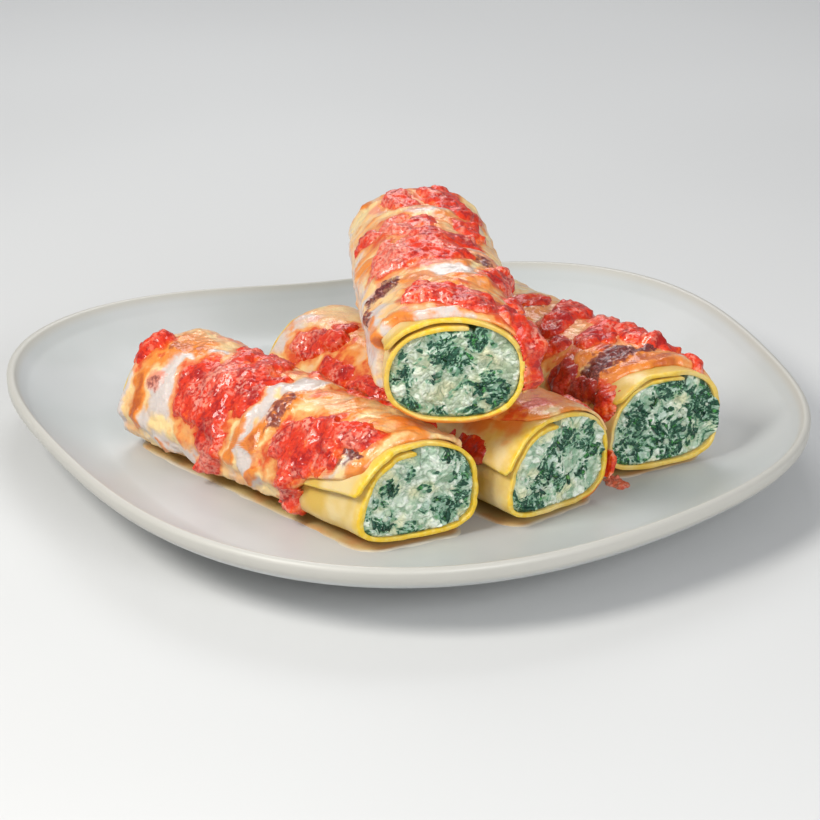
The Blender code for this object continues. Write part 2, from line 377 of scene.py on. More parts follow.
class Surface:
    """One material while its colour and relief are laid on, in the piece's own space.

    Wherever a method takes a number, that is a socket, the name of a mark kept on the mesh,
    or a Share of one of these.
    """

    def __init__(self, finish: "Finish") -> None:
        """Start the material with the finish's own constants.

        Args:
            finish: What the material is made for.
        """
        self.material = bpy.data.materials.new(finish.name)
        self.material.use_nodes = True
        self.tree = self.material.node_tree
        self.shader = self.tree.nodes["Principled BSDF"]
        self.fix({"Roughness": finish.roughness, "IOR": finish.ior})
        if finish.coat:
            self.fix({"Coat Weight": finish.coat, "Coat Roughness": finish.coat_roughness})

    def fix(self, constants: dict[str, float | tuple]) -> None:
        """Set constants on the shader's own sockets."""
        for name, value in constants.items():
            self.shader.inputs[name].default_value = value

    def number(self, given: bpy.types.NodeSocket | str | Share) -> bpy.types.NodeSocket:
        """Find the socket of a number.

        Args:
            given: The socket itself, the name of a mark, or a share of one of these.

        Returns:
            The socket.
        """
        if isinstance(given, str):
            return add_node(self.tree, "ShaderNodeAttribute", attribute_name=given).outputs["Fac"]
        if isinstance(given, Share):
            limits = {"Value": self.number(given.number), "From Min": given.low, "From Max": given.high,
                      "To Min": given.start, "To Max": given.end}
            return add_node(self.tree, "ShaderNodeMapRange", limits,
                            interpolation_type="SMOOTHSTEP").outputs["Result"]
        return given

    def grain(self, size: float, detail: float = 2.0) -> bpy.types.NodeSocket:
        """Noise with hills of a size in millimetres.

        Args:
            size: Distance between hills in millimetres.
            detail: Layers of finer noise.

        Returns:
            A number round the middle.
        """
        place = add_node(self.tree, "ShaderNodeTexCoord").outputs["Object"]
        noise = add_node(self.tree, "ShaderNodeTexNoise",
                         {"Vector": place, "Scale": 1 / (size * MM), "Detail": detail})
        return noise.outputs["Fac"]

    def weigh(self, *terms: tuple) -> bpy.types.NodeSocket:
        """Add up numbers by weight.

        Args:
            terms: A number and its weight, and the value that counts as nothing if that isn't 0.

        Returns:
            The sum.
        """
        total = -sum(weight * nothing[0] for _, weight, *nothing in terms if nothing)
        for number, weight, *_ in terms:
            total = add_node(self.tree, "ShaderNodeMath", {0: self.number(number), 1: weight, 2: total},
                             operation="MULTIPLY_ADD").outputs[0]
        return total

    def lay(self, below: bpy.types.NodeSocket | str, shade: bpy.types.NodeSocket | str,
            *shares: bpy.types.NodeSocket | str | Share) -> bpy.types.NodeSocket:
        """Lay one colour over another.

        Args:
            below: Lower colour, as a socket or as hex.
            shade: Upper colour.
            shares: Numbers whose product says how much of the upper colour shows.

        Returns:
            The colour.
        """
        product = self.number(shares[0])
        for share in shares[1:]:
            product = add_node(self.tree, "ShaderNodeMath", {0: product, 1: self.number(share)},
                               operation="MULTIPLY").outputs[0]
        low, high = (linear(colour) if isinstance(colour, str) else colour for colour in (below, shade))
        return add_node(self.tree, "ShaderNodeMix", {"Factor": product, 6: low, 7: high},
                        data_type="RGBA").outputs[2]

    def relief(self, height: bpy.types.NodeSocket, depth: float) -> None:
        """Tilt the surface by a height.

        Args:
            height: Height from 0 to 1.
            depth: Height of 1 in millimetres.
        """
        bump = add_node(self.tree, "ShaderNodeBump",
                        {"Height": height, "Distance": depth * MM, "Strength": 1.0})
        self.tree.links.new(bump.outputs["Normal"], self.shader.inputs["Normal"])

    def flesh(self, weight: float, radius: float, tint: tuple[float, float, float]) -> None:
        """Let light in: the share that enters, its reach in millimetres, and each colour's share of it."""
        self.fix({"Subsurface Weight": weight, "Subsurface Scale": radius * MM, "Subsurface Radius": tint})


@dataclass(frozen=True)
class Finish:
    """A real material, named for what it is. Sizes of its patterns are in millimetres."""

    name: str = "finish"
    roughness: float = 0.5
    ior: float = 1.45
    coat: float = 0.0
    coat_roughness: float = 0.10

    def build(self) -> bpy.types.Material:
        """Build the material.

        Returns:
            The material.
        """
        surface = Surface(self)
        surface.tree.links.new(self.paint(surface), surface.shader.inputs["Base Color"])
        return surface.material

    def paint(self, surface: Surface) -> bpy.types.NodeSocket:
        """Lay on relief, and return the colour: every finish does it in its own way."""
        raise NotImplementedError


@dataclass(frozen=True)
class GlazedStoneware(Finish):
    """Pale grey-white stoneware under a thick clear glaze: soft, slightly blurred reflections."""

    name: str = "glazed_stoneware"
    roughness: float = 0.40
    ior: float = 1.55
    body: str = "#cbcdcd"
    pooled: str = "#c4c7c6"
    # lip colour: clay under thin glaze, darkened as painted shade of the lip's outer face
    thin_edge_and_shade: str = "#c1bcb0"
    cloud: float = 38.0  # where the glaze pooled a little thicker
    ripple: float = 9.0  # slow unevenness of a dipped glaze

    def paint(self, surface: Surface) -> bpy.types.NodeSocket:
        """Cloud the glaze, and darken the lip: partly clay showing where the glaze ran thin, partly painted
        shade.

        Args:
            surface: The material so far.

        Returns:
            The colour.
        """
        surface.relief(surface.grain(self.ripple, 1.0), 0.12)
        colour = surface.lay(self.body, self.pooled, Share(surface.grain(self.cloud, 1.0), 0.35, 0.65))
        return surface.lay(colour, self.thin_edge_and_shade, Share("lip", 0.3, 1.0, 0.7))


@dataclass(frozen=True)
class EggPasta(Finish):
    """Fresh egg pasta, boiled and baked: yellow where cut, cream and moist on its faces."""

    name: str = "egg_pasta"
    roughness: float = 0.30
    cream: str = "#e8d096"
    yolk: str = "#dab656"
    cut: str = "#f1c634"
    cut_pale_glint: str = "#f8df86"
    stained: str = "#dc7420"
    patch: float = 11.0  # where the sheet dried or soaked
    fleck: float = 1.6  # pale starch and painted highlight along a cut
    seep: float = 4.0  # ragged border of soaked-in sauce
    pore: float = 0.9  # drawn coarser than the real 0.3, which wouldn't show

    def paint(self, surface: Surface) -> bpy.types.NodeSocket:
        """Colour the faces and the cuts, and stain them where sauce soaked in.

        Args:
            surface: The material so far.

        Returns:
            The colour.
        """
        surface.relief(surface.grain(self.pore, 3.0), 0.10)
        surface.flesh(0.25, 2.2, (1.0, 0.62, 0.22))
        face = surface.lay(self.cream, self.yolk, Share(surface.grain(self.patch), 0.36, 0.66))
        # Pale flecks on the cut: partly starch, partly painted highlight.
        edge = surface.lay(self.cut, self.cut_pale_glint, Share(surface.grain(self.fleck), 0.4, 0.7, 0.6))
        colour = surface.lay(face, edge, Share("cut", 0.1, 0.8))
        soaked = surface.weigh(("stain", 1.0), (surface.grain(self.seep, 3.0), 0.9, MIDDLE))
        return surface.lay(colour, self.stained, Share(soaked, 0.2, 0.9, 0.9))


@dataclass(frozen=True)
class RicottaSpinach(Finish):
    """Ricotta bound with chopped spinach: pale green-white curds and dark wet leaves."""

    name: str = "ricotta_and_spinach"
    roughness: float = 0.40
    white: str = "#f0f7e8"
    curd: str = "#c6dac2"
    shade: str = "#9cbca0"
    grey: str = "#a0a282"
    warm: str = "#e6e3b6"
    wet: str = "#98bfb0"
    rim: str = "#6da682"
    leaf: str = "#2c6148"
    leaf_dark: str = "#12332a"
    leaf_bright: str = "#4aa04a"
    hollow: str = "#6f8a66"
    crumb: float = 2.4  # broken curds
    cream: float = 7.0  # patches with more fat
    tinge: float = 2.0  # green that the leaves let into the curds
    fold: float = 1.5  # folds of a chopped leaf
    fray: float = 0.9  # torn borders of the leaves
    pore: float = 0.7  # grain of ricotta

    def paint(self, surface: Surface) -> bpy.types.NodeSocket:
        """Colour the curds, then the leaves over them, then painted shade in the hollows between.

        Args:
            surface: The material so far.

        Returns:
            The colour.
        """
        surface.relief(surface.grain(self.pore, 4.0), 0.30)
        surface.flesh(0.2, 1.5, (0.9, 1.0, 0.7))
        tone = surface.weigh(("tone", 1.0), (surface.grain(self.crumb, 3.0), 0.6, MIDDLE))
        curds = add_node(surface.tree, "ShaderNodeValToRGB", {"Fac": tone},
                         ((0.12, self.shade), (0.42, self.curd), (0.72, self.white))).outputs["Color"]
        curds = surface.lay(curds, self.warm, Share(surface.grain(self.cream, 1.0), 0.48, 0.68, 0.8))
        # Painted shade: greys the curds of a roll whose face lies in shade, the palest least.
        curds = surface.lay(curds, self.grey, "dull", Share(tone, 0.34, 0.72, 0.3, 1.0))
        curds = surface.lay(curds, self.wet, Share("crowd", 0.1, 0.9, 0.6))
        curds = surface.lay(curds, self.leaf_bright, Share(surface.grain(self.tinge, 3.0), 0.54, 0.68),
                            Share("crowd", 0.0, 0.5, 0.6, 0.08))
        greens = add_node(surface.tree, "ShaderNodeValToRGB", {"Fac": surface.grain(self.fold, 3.0)},
                          ((0.30, self.leaf_dark), (0.46, self.leaf), (0.56, self.leaf_dark),
                           (0.70, self.leaf_bright))).outputs["Color"]
        frayed = surface.weigh(("leaf", 1.0), (surface.grain(self.fray, 3.0), 0.5, MIDDLE))
        colour = surface.lay(curds, self.rim, Share(frayed, 0.12, 0.45, 0.8))
        colour = surface.lay(colour, greens, Share(frayed, 0.35, 0.8))
        # Painted shade in the gaps between curds and where the face falls away under the sheet.
        return surface.lay(colour, self.hollow, Share("hollow", 0.0, 1.0, 0.75))


@dataclass(frozen=True)
class RicottaCurd(Finish):
    """A loose curd of ricotta, tinged green by the leaves round it."""

    name: str = "ricotta_curd"
    roughness: float = 0.36
    light: str = "#d6e0cc"
    green: str = "#b4c8ac"
    tinge: float = 3.6
    pore: float = 0.7

    def paint(self, surface: Surface) -> bpy.types.NodeSocket:
        """Tinge the curd unevenly.

        Args:
            surface: The material so far.

        Returns:
            The colour.
        """
        surface.relief(surface.grain(self.pore, 3.0), 0.25)
        surface.flesh(0.3, 1.8, (0.9, 1.0, 0.7))
        return surface.lay(self.green, self.light, Share(surface.grain(self.tinge, 3.0), 0.32, 0.68))


@dataclass(frozen=True)
class SpinachLeaf(Finish):
    """Cooked, chopped spinach: nearly black blue-green where folded, brighter where thin."""

    name: str = "cooked_spinach"
    roughness: float = 0.26
    dark: str = "#122b22"
    wet: str = "#2a5a46"
    bright: str = "#58963f"
    fold: float = 2.2
    vein: float = 0.6

    def paint(self, surface: Surface) -> bpy.types.NodeSocket:
        """Darken the folds.

        Args:
            surface: The material so far.

        Returns:
            The colour.
        """
        surface.relief(surface.grain(self.vein, 3.0), 0.2)
        return add_node(surface.tree, "ShaderNodeValToRGB", {"Fac": surface.grain(self.fold, 3.0)},
                        ((0.30, self.dark), (0.48, self.wet), (0.60, self.dark),
                         (0.72, self.bright))).outputs["Color"]


@dataclass(frozen=True)
class BakedWhiteSauce(Finish):
    """White sauce and cheese out of the oven: cream, golden where it baked, dark where it caught."""

    name: str = "baked_white_sauce"
    roughness: float = 0.30
    coat: float = 0.45
    white: str = "#dacdc5"
    cream: str = "#fadb9c"
    peach: str = "#f5bb7c"
    gold: str = "#e98424"
    brown: str = "#b9541a"
    caught: str = "#843a34"
    burnt: str = "#4a161c"
    wrinkle: str = "#c08a7c"
    stain: str = "#de4a14"
    pale_stain: str = "#f0963e"
    rose: str = "#ec8a6c"
    cloud: float = 13.0  # thicker and thinner sauce
    coarse: float = 6.0  # ragged borders of a browned patch
    fine: float = 1.8  # flecks along them
    crust: float = 1.5  # blisters of the caught skin
    pore: float = 1.1  # grain of the baked skin

    def uneven(self, surface: Surface, mark: str, rough: float, flecked: float,
               *more: tuple) -> bpy.types.NodeSocket:
        """Break up a mark of the mesh with coarse and fine grain, and add any further terms."""
        return surface.weigh((mark, 1.0), (surface.grain(self.coarse, 3.0), rough, MIDDLE),
                             (surface.grain(self.fine, 3.0), flecked, MIDDLE), *more)

    def paint(self, surface: Surface) -> bpy.types.NodeSocket:
        """Bake the sauce: folds that stand up brown first, and milk stays in the dips.

        Args:
            surface: The material so far.

        Returns:
            The colour.
        """
        surface.relief(surface.grain(self.pore, 4.0), 0.30)
        surface.flesh(0.15, 2.0, (1.0, 0.6, 0.4))
        colour = surface.lay(self.cream, self.peach, Share(surface.grain(self.cloud, 3.0), 0.38, 0.62))
        milk = self.uneven(surface, "white", 1.4, 0.4, ("ridge", -0.7, MIDDLE))
        colour = surface.lay(colour, self.white, Share(milk, 0.05, 0.65))
        baked = self.uneven(surface, "gold", 1.0, 0.7, ("ridge", 0.85, MIDDLE))
        colour = surface.lay(colour, self.gold, Share(baked, 0.22, 0.95, 0.95))
        colour = surface.lay(colour, self.brown, Share(baked, 1.0, 1.6, 0.9))
        pink = self.uneven(surface, "rose", 0.9, 1.0, ("ridge", -0.9, MIDDLE), ("gold", -0.7))
        colour = surface.lay(colour, self.rose, Share(pink, 0.25, 1.0, 0.85))
        red = self.uneven(surface, "stain", 0.9, 0.7, ("ridge", 0.6, MIDDLE))
        colour = surface.lay(colour, self.pale_stain, Share(red, 0.22, 0.65, 0.75))
        colour = surface.lay(colour, self.stain, Share(red, 0.6, 1.05, 0.95))
        blistered = surface.weigh((surface.grain(self.crust, 3.0), 1.0), ("ridge", 0.25, MIDDLE))
        crust = add_node(surface.tree, "ShaderNodeValToRGB", {"Fac": blistered},
                         ((0.34, self.burnt), (0.48, self.caught), (0.60, self.burnt), (0.66, self.caught),
                          (0.80, self.wrinkle))).outputs["Color"]
        black = self.uneven(surface, "char", 0.7, 1.5)
        colour = surface.lay(colour, self.caught, Share(black, 0.30, 0.65, 0.8))
        return surface.lay(colour, crust, Share(black, 0.55, 0.95))


@dataclass(frozen=True)
class TomatoPulp(Finish):
    """Cooked crushed tomato: wet red pulp, orange where thin, with deep red painted shade in its hollows."""

    name: str = "crushed_tomato"
    roughness: float = 0.46
    ior: float = 1.33
    coat: float = 0.65
    # deep red of the lowest tone, reached in the painted shade of the hollows
    deep: str = "#b00e02"
    red: str = "#de3006"
    orange: str = "#f46018"
    # pale orange of thin pulp, also laid on the crests as painted highlight
    pale: str = "#fd9474"
    # painted shade for heaps that lie in the valleys between rolls
    dark: str = "#861808"
    milky: str = "#f48e74"
    # frothy cream, speckled on as painted highlight
    froth_and_glint: str = "#fdae98"
    lump: float = 5.0  # chunks of tomato
    fibre: float = 1.0  # fibres of the pulp
    speck: float = 1.1  # flecks of cream and painted highlight on the fibres
    cream: float = 7.0  # patches of stirred-in white sauce, speckled with painted highlight
    pore: float = 0.85  # wet grain of the pulp

    def paint(self, surface: Surface) -> bpy.types.NodeSocket:
        """Redden the chunks, stir in the cream, and paint highlights on crests and shade in hollows and
        valleys.

        Args:
            surface: The material so far.

        Returns:
            The colour.
        """
        surface.relief(surface.grain(self.pore, 2.0), 0.44)
        surface.flesh(0.20, 1.8, (1.0, 0.25, 0.12))
        fibre = surface.grain(self.fibre, 3.0)
        # The gaps between lumps lower the tone, as painted shade.
        tone = surface.weigh((surface.grain(self.lump, 3.0), 1.0), (fibre, 0.5, MIDDLE),
                             ("chunk", 0.24, MIDDLE), ("hollow", -0.20), ("thin", 0.22))
        colour = add_node(surface.tree, "ShaderNodeValToRGB", {"Fac": tone},
                          ((0.29, self.deep), (0.45, self.red), (0.60, self.red), (0.76, self.orange),
                           (0.95, self.pale))).outputs["Color"]
        creamed = surface.weigh(("rose", 1.0), (fibre, 1.5, MIDDLE))
        colour = surface.lay(colour, self.milky, Share(creamed, 0.25, 1.3, 0.5))
        glint_specks = surface.number(Share(surface.grain(self.speck, 3.0), 0.42, 0.60))
        # Painted highlight: pale glints on the crests of the folds.
        colour = surface.lay(colour, self.pale, glint_specks, Share("crest", 0.3, 0.95, 0.55))
        # Painted highlight too: frothy specks over the creamy patches and rosy places.
        patch = add_node(surface.tree, "ShaderNodeMath",
                         {0: surface.number(Share(surface.grain(self.cream, 1.0), 0.50, 0.66, 0.55)),
                          1: surface.number(Share("rose", 0.1, 0.9, 0.6))}, operation="MAXIMUM").outputs[0]
        colour = surface.lay(colour, self.froth_and_glint, glint_specks, patch)
        # Painted shade on heaps that lie in the valleys between rolls.
        return surface.lay(colour, self.dark, Share("deep", 0.1, 1.0, 0.75))


@dataclass(frozen=True)
class CookingLiquor(Finish):
    """Thin film of whey and oil that runs out of the rolls over the glaze."""

    name: str = "cooking_liquor"
    roughness: float = 0.06
    ior: float = 1.40
    # gold of deep film near the rolls, partly painted reflection of them
    thick: str = "#c9b27c"
    thin: str = "#cecbc0"
    red: str = "#cb8a58"
    pool: float = 12.0  # where tomato juice ran in

    def paint(self, surface: Surface) -> bpy.types.NodeSocket:
        """Colour the film more the deeper it lies; near the rolls this is partly painted reflection of them.
        """
        colour = surface.lay(self.thin, self.thick, "deep")
        return surface.lay(colour, self.red, "deep", Share(surface.grain(self.pool), 0.45, 0.65, 0.6))


@dataclass(frozen=True)
class StudioPaper(Finish):
    """Matt pale paper under the plate."""

    name: str = "studio_paper"
    roughness: float = 0.9
    shade: str = "#dcdcdb"
    cloudy: str = "#d9d9d8"
    cloud: float = 300.0

    def paint(self, surface: Surface) -> bpy.types.NodeSocket:
        """Cloud the paper faintly."""
        return surface.lay(self.shade, self.cloudy, Share(surface.grain(self.cloud, 1.0), 0.4, 0.6))


# ---------------------------------------------------------------- roll geometry

class Mark(Enum):
    """What a stroke leaves on a roll."""

    WHITE = "white"
    GOLD = "gold"
    CHAR = "char"
    STAIN = "stain"
    ROSE = "rose"
    # painted shade on tomato in the valleys between rolls
    DEEP = "deep"
    TOMATO = "tomato"


@dataclass(frozen=True)
class Stroke:
    """A patch or streak on a roll: a path of distances along it and angles round it.

    The reach is half the width in millimetres. The strength is a share of full colour, or
    the height of the heap in millimetres for tomato sauce.
    """

    mark: Mark
    reach: float
    strength: float
    path: tuple[tuple[float, float], ...]


def strokes(table: dict[Mark, tuple]) -> tuple[Stroke, ...]:
    """Strokes by their mark, each given as its reach, its strength, and then its places."""
    return tuple(Stroke(mark, reach, strength, tuple(path))
                 for mark, rows in table.items() for reach, strength, *path in rows)


@dataclass
class Roll:
    """Axis and section of one roll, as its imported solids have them, and what lies on it.

    An angle of 0 is the roll's right side seen from its front end, 90 its top and 180 its
    left side. Distances along the roll start at its rear end.
    """

    name: str
    rear: tuple[float, float]
    front: tuple[float, float]
    rest: float  # height of what it lies on
    width: float
    height: float
    end_turn: float  # degrees that the cut front end is turned
    flap: tuple[float, float]  # angle of the sheet's free edge, at the rear and the front
    pitch: float  # from one layer of the sheet to the next
    coat_left: tuple[float, float, float]  # angle of the coat's left border, from rear to front
    coat_right: float  # angle of its right border
    bare: tuple[tuple[float, float], ...]  # angle, and length of bare pasta at the front end
    strokes: tuple[Stroke, ...] = ()
    seed: int = 1
    top_power: float = 2.25  # roundness of the section: 2 is an ellipse, more is squarer
    bottom_power: float = 3.4
    end_ramp: float = 26.0  # length over which the front end turns
    flap_lift: float = 0.4
    coat_depth: float = 1.0
    dull: float = 0.0  # share of curds greyed as painted shade; it also thins the loose curds
    yellow: float = 1.0  # strength of the cut sheet's yellow
    spill: float = 0.15  # how far the filling bulges over the sheet
    scraps: float = 0.07  # share of leaf between the leafy clusters
    slant: float = 0.0  # how far the left side leans in
    leaves: tuple[tuple[float, float, float, float], ...] = ()  # across, up, reach and share of each cluster

    @property
    def length(self) -> float:
        """Length of the roll."""
        return math.dist(self.rear, self.front)

    @property
    def radius(self) -> float:
        """Mean radius of the roll."""
        return (self.width + self.height) / 4

    @property
    def ahead(self) -> np.ndarray:
        """Level direction from the rear to the front end."""
        return np.array([*np.subtract(self.front, self.rear), 0]) / self.length

    @property
    def aside(self) -> np.ndarray:
        """Level direction to the right of the roll."""
        return np.array([-self.ahead[1], self.ahead[0], 0])

    def section(self, angle: np.ndarray, offset: np.ndarray) -> tuple[np.ndarray, np.ndarray]:
        """Points of the cross-section.

        Args:
            angle: Degrees round the roll from its right side.
            offset: Distance outwards from the nominal outline.

        Returns:
            Distances to the right of and above the middle.
        """
        turn = np.radians(angle)
        across, up = np.cos(turn), np.sin(turn)
        power = np.where(up > 0, self.top_power, self.bottom_power)
        reach = (np.abs(across) ** power + np.abs(up) ** power) ** (-1 / power)
        half_w, half_h = self.width / 2, self.height / 2
        side, rise = half_w * reach * across, half_h * reach * up
        slope_x = np.sign(across) * np.abs(reach * across) ** (power - 1) / half_w
        slope_z = np.sign(up) * np.abs(reach * up) ** (power - 1) / half_h
        scale = offset / np.hypot(slope_x, slope_z)
        side, rise = side + scale * slope_x, rise + scale * slope_z
        lean = self.slant * (0.35 - ease(-0.8, 1.0, rise / half_h)) * ease(0, -0.8, side / half_w)
        return side * (1 + lean), rise

    def place(self, along: np.ndarray, side: np.ndarray, rise: np.ndarray) -> np.ndarray:
        """Points in the object's frame, in millimetres.

        Args:
            along: Distance from the rear end.
            side: Distance to the right of the axis.
            rise: Height above the axis.

        Returns:
            Places, with three numbers in the last axis.
        """
        along, side, rise = np.broadcast_arrays(np.asarray(along, float), side, rise)
        share = np.maximum(0, (along - self.length + self.end_ramp) / self.end_ramp)
        reach = along + share * side * math.tan(math.radians(self.end_turn))
        start = np.array([*self.rear, self.rest + self.height / 2])
        return (start + reach[..., None] * self.ahead + side[..., None] * self.aside
                + rise[..., None] * np.array([0, 0, 1.0]))

    def surface(self, along: np.ndarray, angle: np.ndarray, offset: np.ndarray) -> np.ndarray:
        """Points at a distance along, an angle round and an offset out of the outline."""
        side, rise = self.section(np.asarray(angle, float), np.asarray(offset, float))
        return self.place(along, side, rise)

    def flap_angle(self, along: np.ndarray) -> np.ndarray:
        """Angle of the sheet's free edge at a distance along the roll."""
        return self.flap[0] + (self.flap[1] - self.flap[0]) * ease(0.6, 1.0, along / self.length)

    def raised(self, along: np.ndarray, angle: np.ndarray) -> np.ndarray:
        """How far the outer layer stands off near its free edge, or lies deeper past it.

        Args:
            along: Distances from the rear end.
            angle: Angles round the roll.

        Returns:
            Distances outwards.
        """
        turned = self.flap_angle(along) - angle
        wave = 0.65 + 0.35 * soft_noise(places(along, 0, 10.0 * self.seed), 22, self.seed + 2)
        ripple = self.flap_lift * wave * ease(0.25, 0.9, along / self.length)
        below = self.pitch * (1 + turned / 360) * ease(0, -20, turned)
        return ripple * np.where(turned > 0, ease(44, 0, turned), ease(-20, 0, turned)) - below


def left_roll() -> Roll:
    """The roll at the left, turned most towards the viewer.

    Returns:
        The roll.
    """
    return Roll(
        name="left", rear=(-69.7, 6.6), front=(5.3, -77.6), rest=8.3, width=38.5, height=30.5,
        end_turn=15.0, flap=(188, 172), pitch=2.4, coat_left=(246, 220, 198), coat_right=38, seed=11,
        flap_lift=0.8, slant=0.3, coat_depth=1.2,
        leaves=(
            (0.55, 0.62, 0.17, 0.8), (0.85, 0.5, 0.18, 0.9), (0.7, 0.18, 0.18, 0.8),
            (0.68, -0.25, 0.16, 0.8), (0.42, -0.42, 0.22, 0.8), (-0.44, 0.16, 0.14, 0.9),
            (-0.56, -0.06, 0.13, 0.9), (-0.46, -0.42, 0.18, 0.8), (-0.86, -0.22, 0.15, 0.9),
            (-0.84, -0.72, 0.16, 0.8), (-0.13, -0.84, 0.26, 0.8), (0.14, 0.04, 0.1, 0.8),
            (-0.12, 0.42, 0.12, 0.7), (0.14, -0.26, 0.12, 0.7)),
        bare=((40, 4), (90, 2.2), (125, 2.6), (150, 4), (162, 9), (174, 25), (190, 33), (215, 37)),
        strokes=strokes({
            Mark.TOMATO: ((5.5, 2.8, (2, 124), (3, 116)), (5.0, 2.3, (25, 132), (29, 118)),
                (5.0, 2.6, (28, 150), (40, 158), (44, 166)), (8.5, 3.0, (37, 146), (44, 128)),
                (7.0, 2.0, (36, 118), (44, 110)), (3.6, 2.4, (52, 116), (52, 144)),
                (4.4, 2.6, (46, 190), (43, 204)), (4.6, 2.2, (48, 174), (42, 184)),
                (4.6, 2.3, (49, 104), (44, 84), (36, 58)), (4.0, 1.5, (36, 100), (33, 80), (28, 62)),
                (2.8, 2.0, (54, 91)), (3.0, 1.5, (60, 62), (54, 52)),
                (3.6, 2.2, (72, 50), (84, 46), (96, 42)), (6.0, 2.4, (74, 154), (80, 140)),
                (6.4, 3.0, (84, 152), (87, 132)), (6.2, 2.8, (92, 136), (97, 119)),
                (4.4, 2.2, (98, 128), (103, 120)), (3.0, 1.8, (92, 157), (96, 152)),
                (4.6, 2.7, (79, 172), (80, 188)), (3.7, 2.7, (79.5, 198), (78, 236))),
            Mark.WHITE: ((5.0, 1.0, (18, 126), (18, 160)), (3.0, 0.9, (0, 130), (0, 210)),
                (4.0, 0.7, (14, 190), (24, 208)), (2.4, 0.8, (22, 104), (26, 98)),
                (2.6, 1.0, (57, 102), (57, 148)), (3.6, 1.0, (60, 168), (63, 200)),
                (4.2, 0.9, (62, 76), (62, 98)), (3.0, 0.7, (32, 205), (44, 214)),
                (3.0, 0.8, (60, 138), (64, 128)), (3.0, 0.7, (96, 158), (104, 152))),
            Mark.GOLD: ((2.8, 1.3, (7.5, 150), (9, 185), (10, 196)),
                (7.0, 1.0, (9, 116), (10, 96), (16, 100)), (1.6, 1.2, (55, 192), (57, 172), (57, 154)),
                (1.8, 1.1, (64, 202), (67, 186)), (2.2, 1.4, (62, 166), (64, 146), (68, 132)),
                (4.0, 1.1, (66, 128), (68, 112)), (10.0, 0.62, (84, 104), (104, 98)),
                (3.0, 1.0, (96, 84), (106, 80)), (3.4, 1.0, (70, 92), (73, 80)),
                (2.6, 1.1, (112, 144), (110, 164)), (4.0, 0.9, (108, 150)), (1.3, 1.0, (20, 204), (21, 216)),
                (2.4, 1.4, (4, 108), (20, 104))),
            Mark.CHAR: ((2.6, 0.42, (13, 154)), (3.4, 0.66, (65, 136), (67, 116)),
                (1.4, 0.75, (65, 148), (68, 138)), (3.2, 0.55, (99, 149), (104, 146)),
                (1.3, 0.9, (99, 138), (106, 137)), (2.0, 0.5, (12, 112))),
            Mark.STAIN: ((4.5, 0.9, (32, 184), (34, 168)), (6.0, 0.8, (52, 62), (46, 76)),
                (5.0, 0.8, (70, 62), (80, 56)), (4.6, 0.8, (72, 88)), (4.5, 0.8, (68, 176), (70, 164)),
                (6.0, 0.5, (98, 66), (108, 62)), (4.0, 0.7, (106, 128), (104, 112))),
            Mark.ROSE: ((3.0, 1.1, (13, 150)), (6.5, 0.9, (38, 122)), (5.0, 0.8, (12, 72), (16, 62)),
                (5.0, 0.8, (44, 198)), (4.0, 0.7, (102, 128)), (5.0, 0.6, (70, 160)))}))


def middle_roll() -> Roll:
    """The roll under the top one.

    Returns:
        The roll.
    """
    return Roll(
        name="middle", rear=(-26.5, 28.9), front=(44.8, -58.4), rest=8.3, width=40.6, height=31.0,
        end_turn=-2.0, flap=(170, 172), pitch=2.3, coat_left=(176, 172, 158), coat_right=22, seed=23,
        flap_lift=1.0, coat_depth=0.32, yellow=0.85, spill=0.4, scraps=0.12, slant=0.26,
        leaves=(
            (0.16, 0.42, 0.24, 0.7), (0.44, 0.36, 0.22, 0.8), (-0.1, 0.3, 0.16, 0.7),
            (-0.18, -0.02, 0.2, 0.8), (0.66, 0.1, 0.16, 0.7), (-0.42, -0.3, 0.15, 0.8),
            (0.0, -0.34, 0.15, 0.8), (-0.62, -0.7, 0.26, 0.9), (-0.4, -0.74, 0.2, 0.9),
            (-0.9, -0.35, 0.13, 0.7), (0.46, -0.28, 0.14, 0.6)),
        bare=((20, 1.0), (100, 1.2), (116, 5), (130, 15), (142, 24), (160, 38), (180, 44)),
        strokes=strokes({
            Mark.TOMATO: ((5.0, 1.9, (12, 142), (18, 134)), (4.6, 2.5, (18, 134), (23, 124)),
                (3.8, 1.6, (22, 116), (21, 104)), (4.0, 1.9, (28, 154), (36, 150)),
                (3.4, 1.8, (42, 154), (52, 152)), (4.4, 1.7, (88, 172), (97, 166)),
                (3.0, 1.6, (96, 34), (104, 30)), (2.2, 1.3, (112.5, -26), (112.5, -12))),
            Mark.GOLD: ((9.0, 0.3, (6, 120), (6, 80)), (9.0, 0.5, (34, 126), (40, 100)),
                (6.5, 1.2, (102, 92), (104, 122)), (6.0, 1.2, (94, 110), (98, 74)),
                (6.0, 1.1, (104, 78), (100, 44))),
            Mark.STAIN: ((6.5, 0.85, (103, 124), (103, 88)), (7.0, 0.9, (94, 134), (92, 96)),
                (4.0, 0.8, (24, 104), (28, 118)), (5.0, 0.7, (30, 142), (44, 140)),
                (6.0, 0.7, (100, 74), (90, 60)), (2.6, 1.3, (112, -46), (113, -56))),
            Mark.ROSE: ((6.0, 0.7, (10, 142), (14, 112)), (4.0, 0.6, (8, 112))),
            Mark.WHITE: ((1.4, 0.6, (106, 62), (108, 48)), (4.0, 0.6, (2, 150), (4, 120))),
            Mark.DEEP: ((7.0, 1.0, (86, 184), (100, 172)),)}))


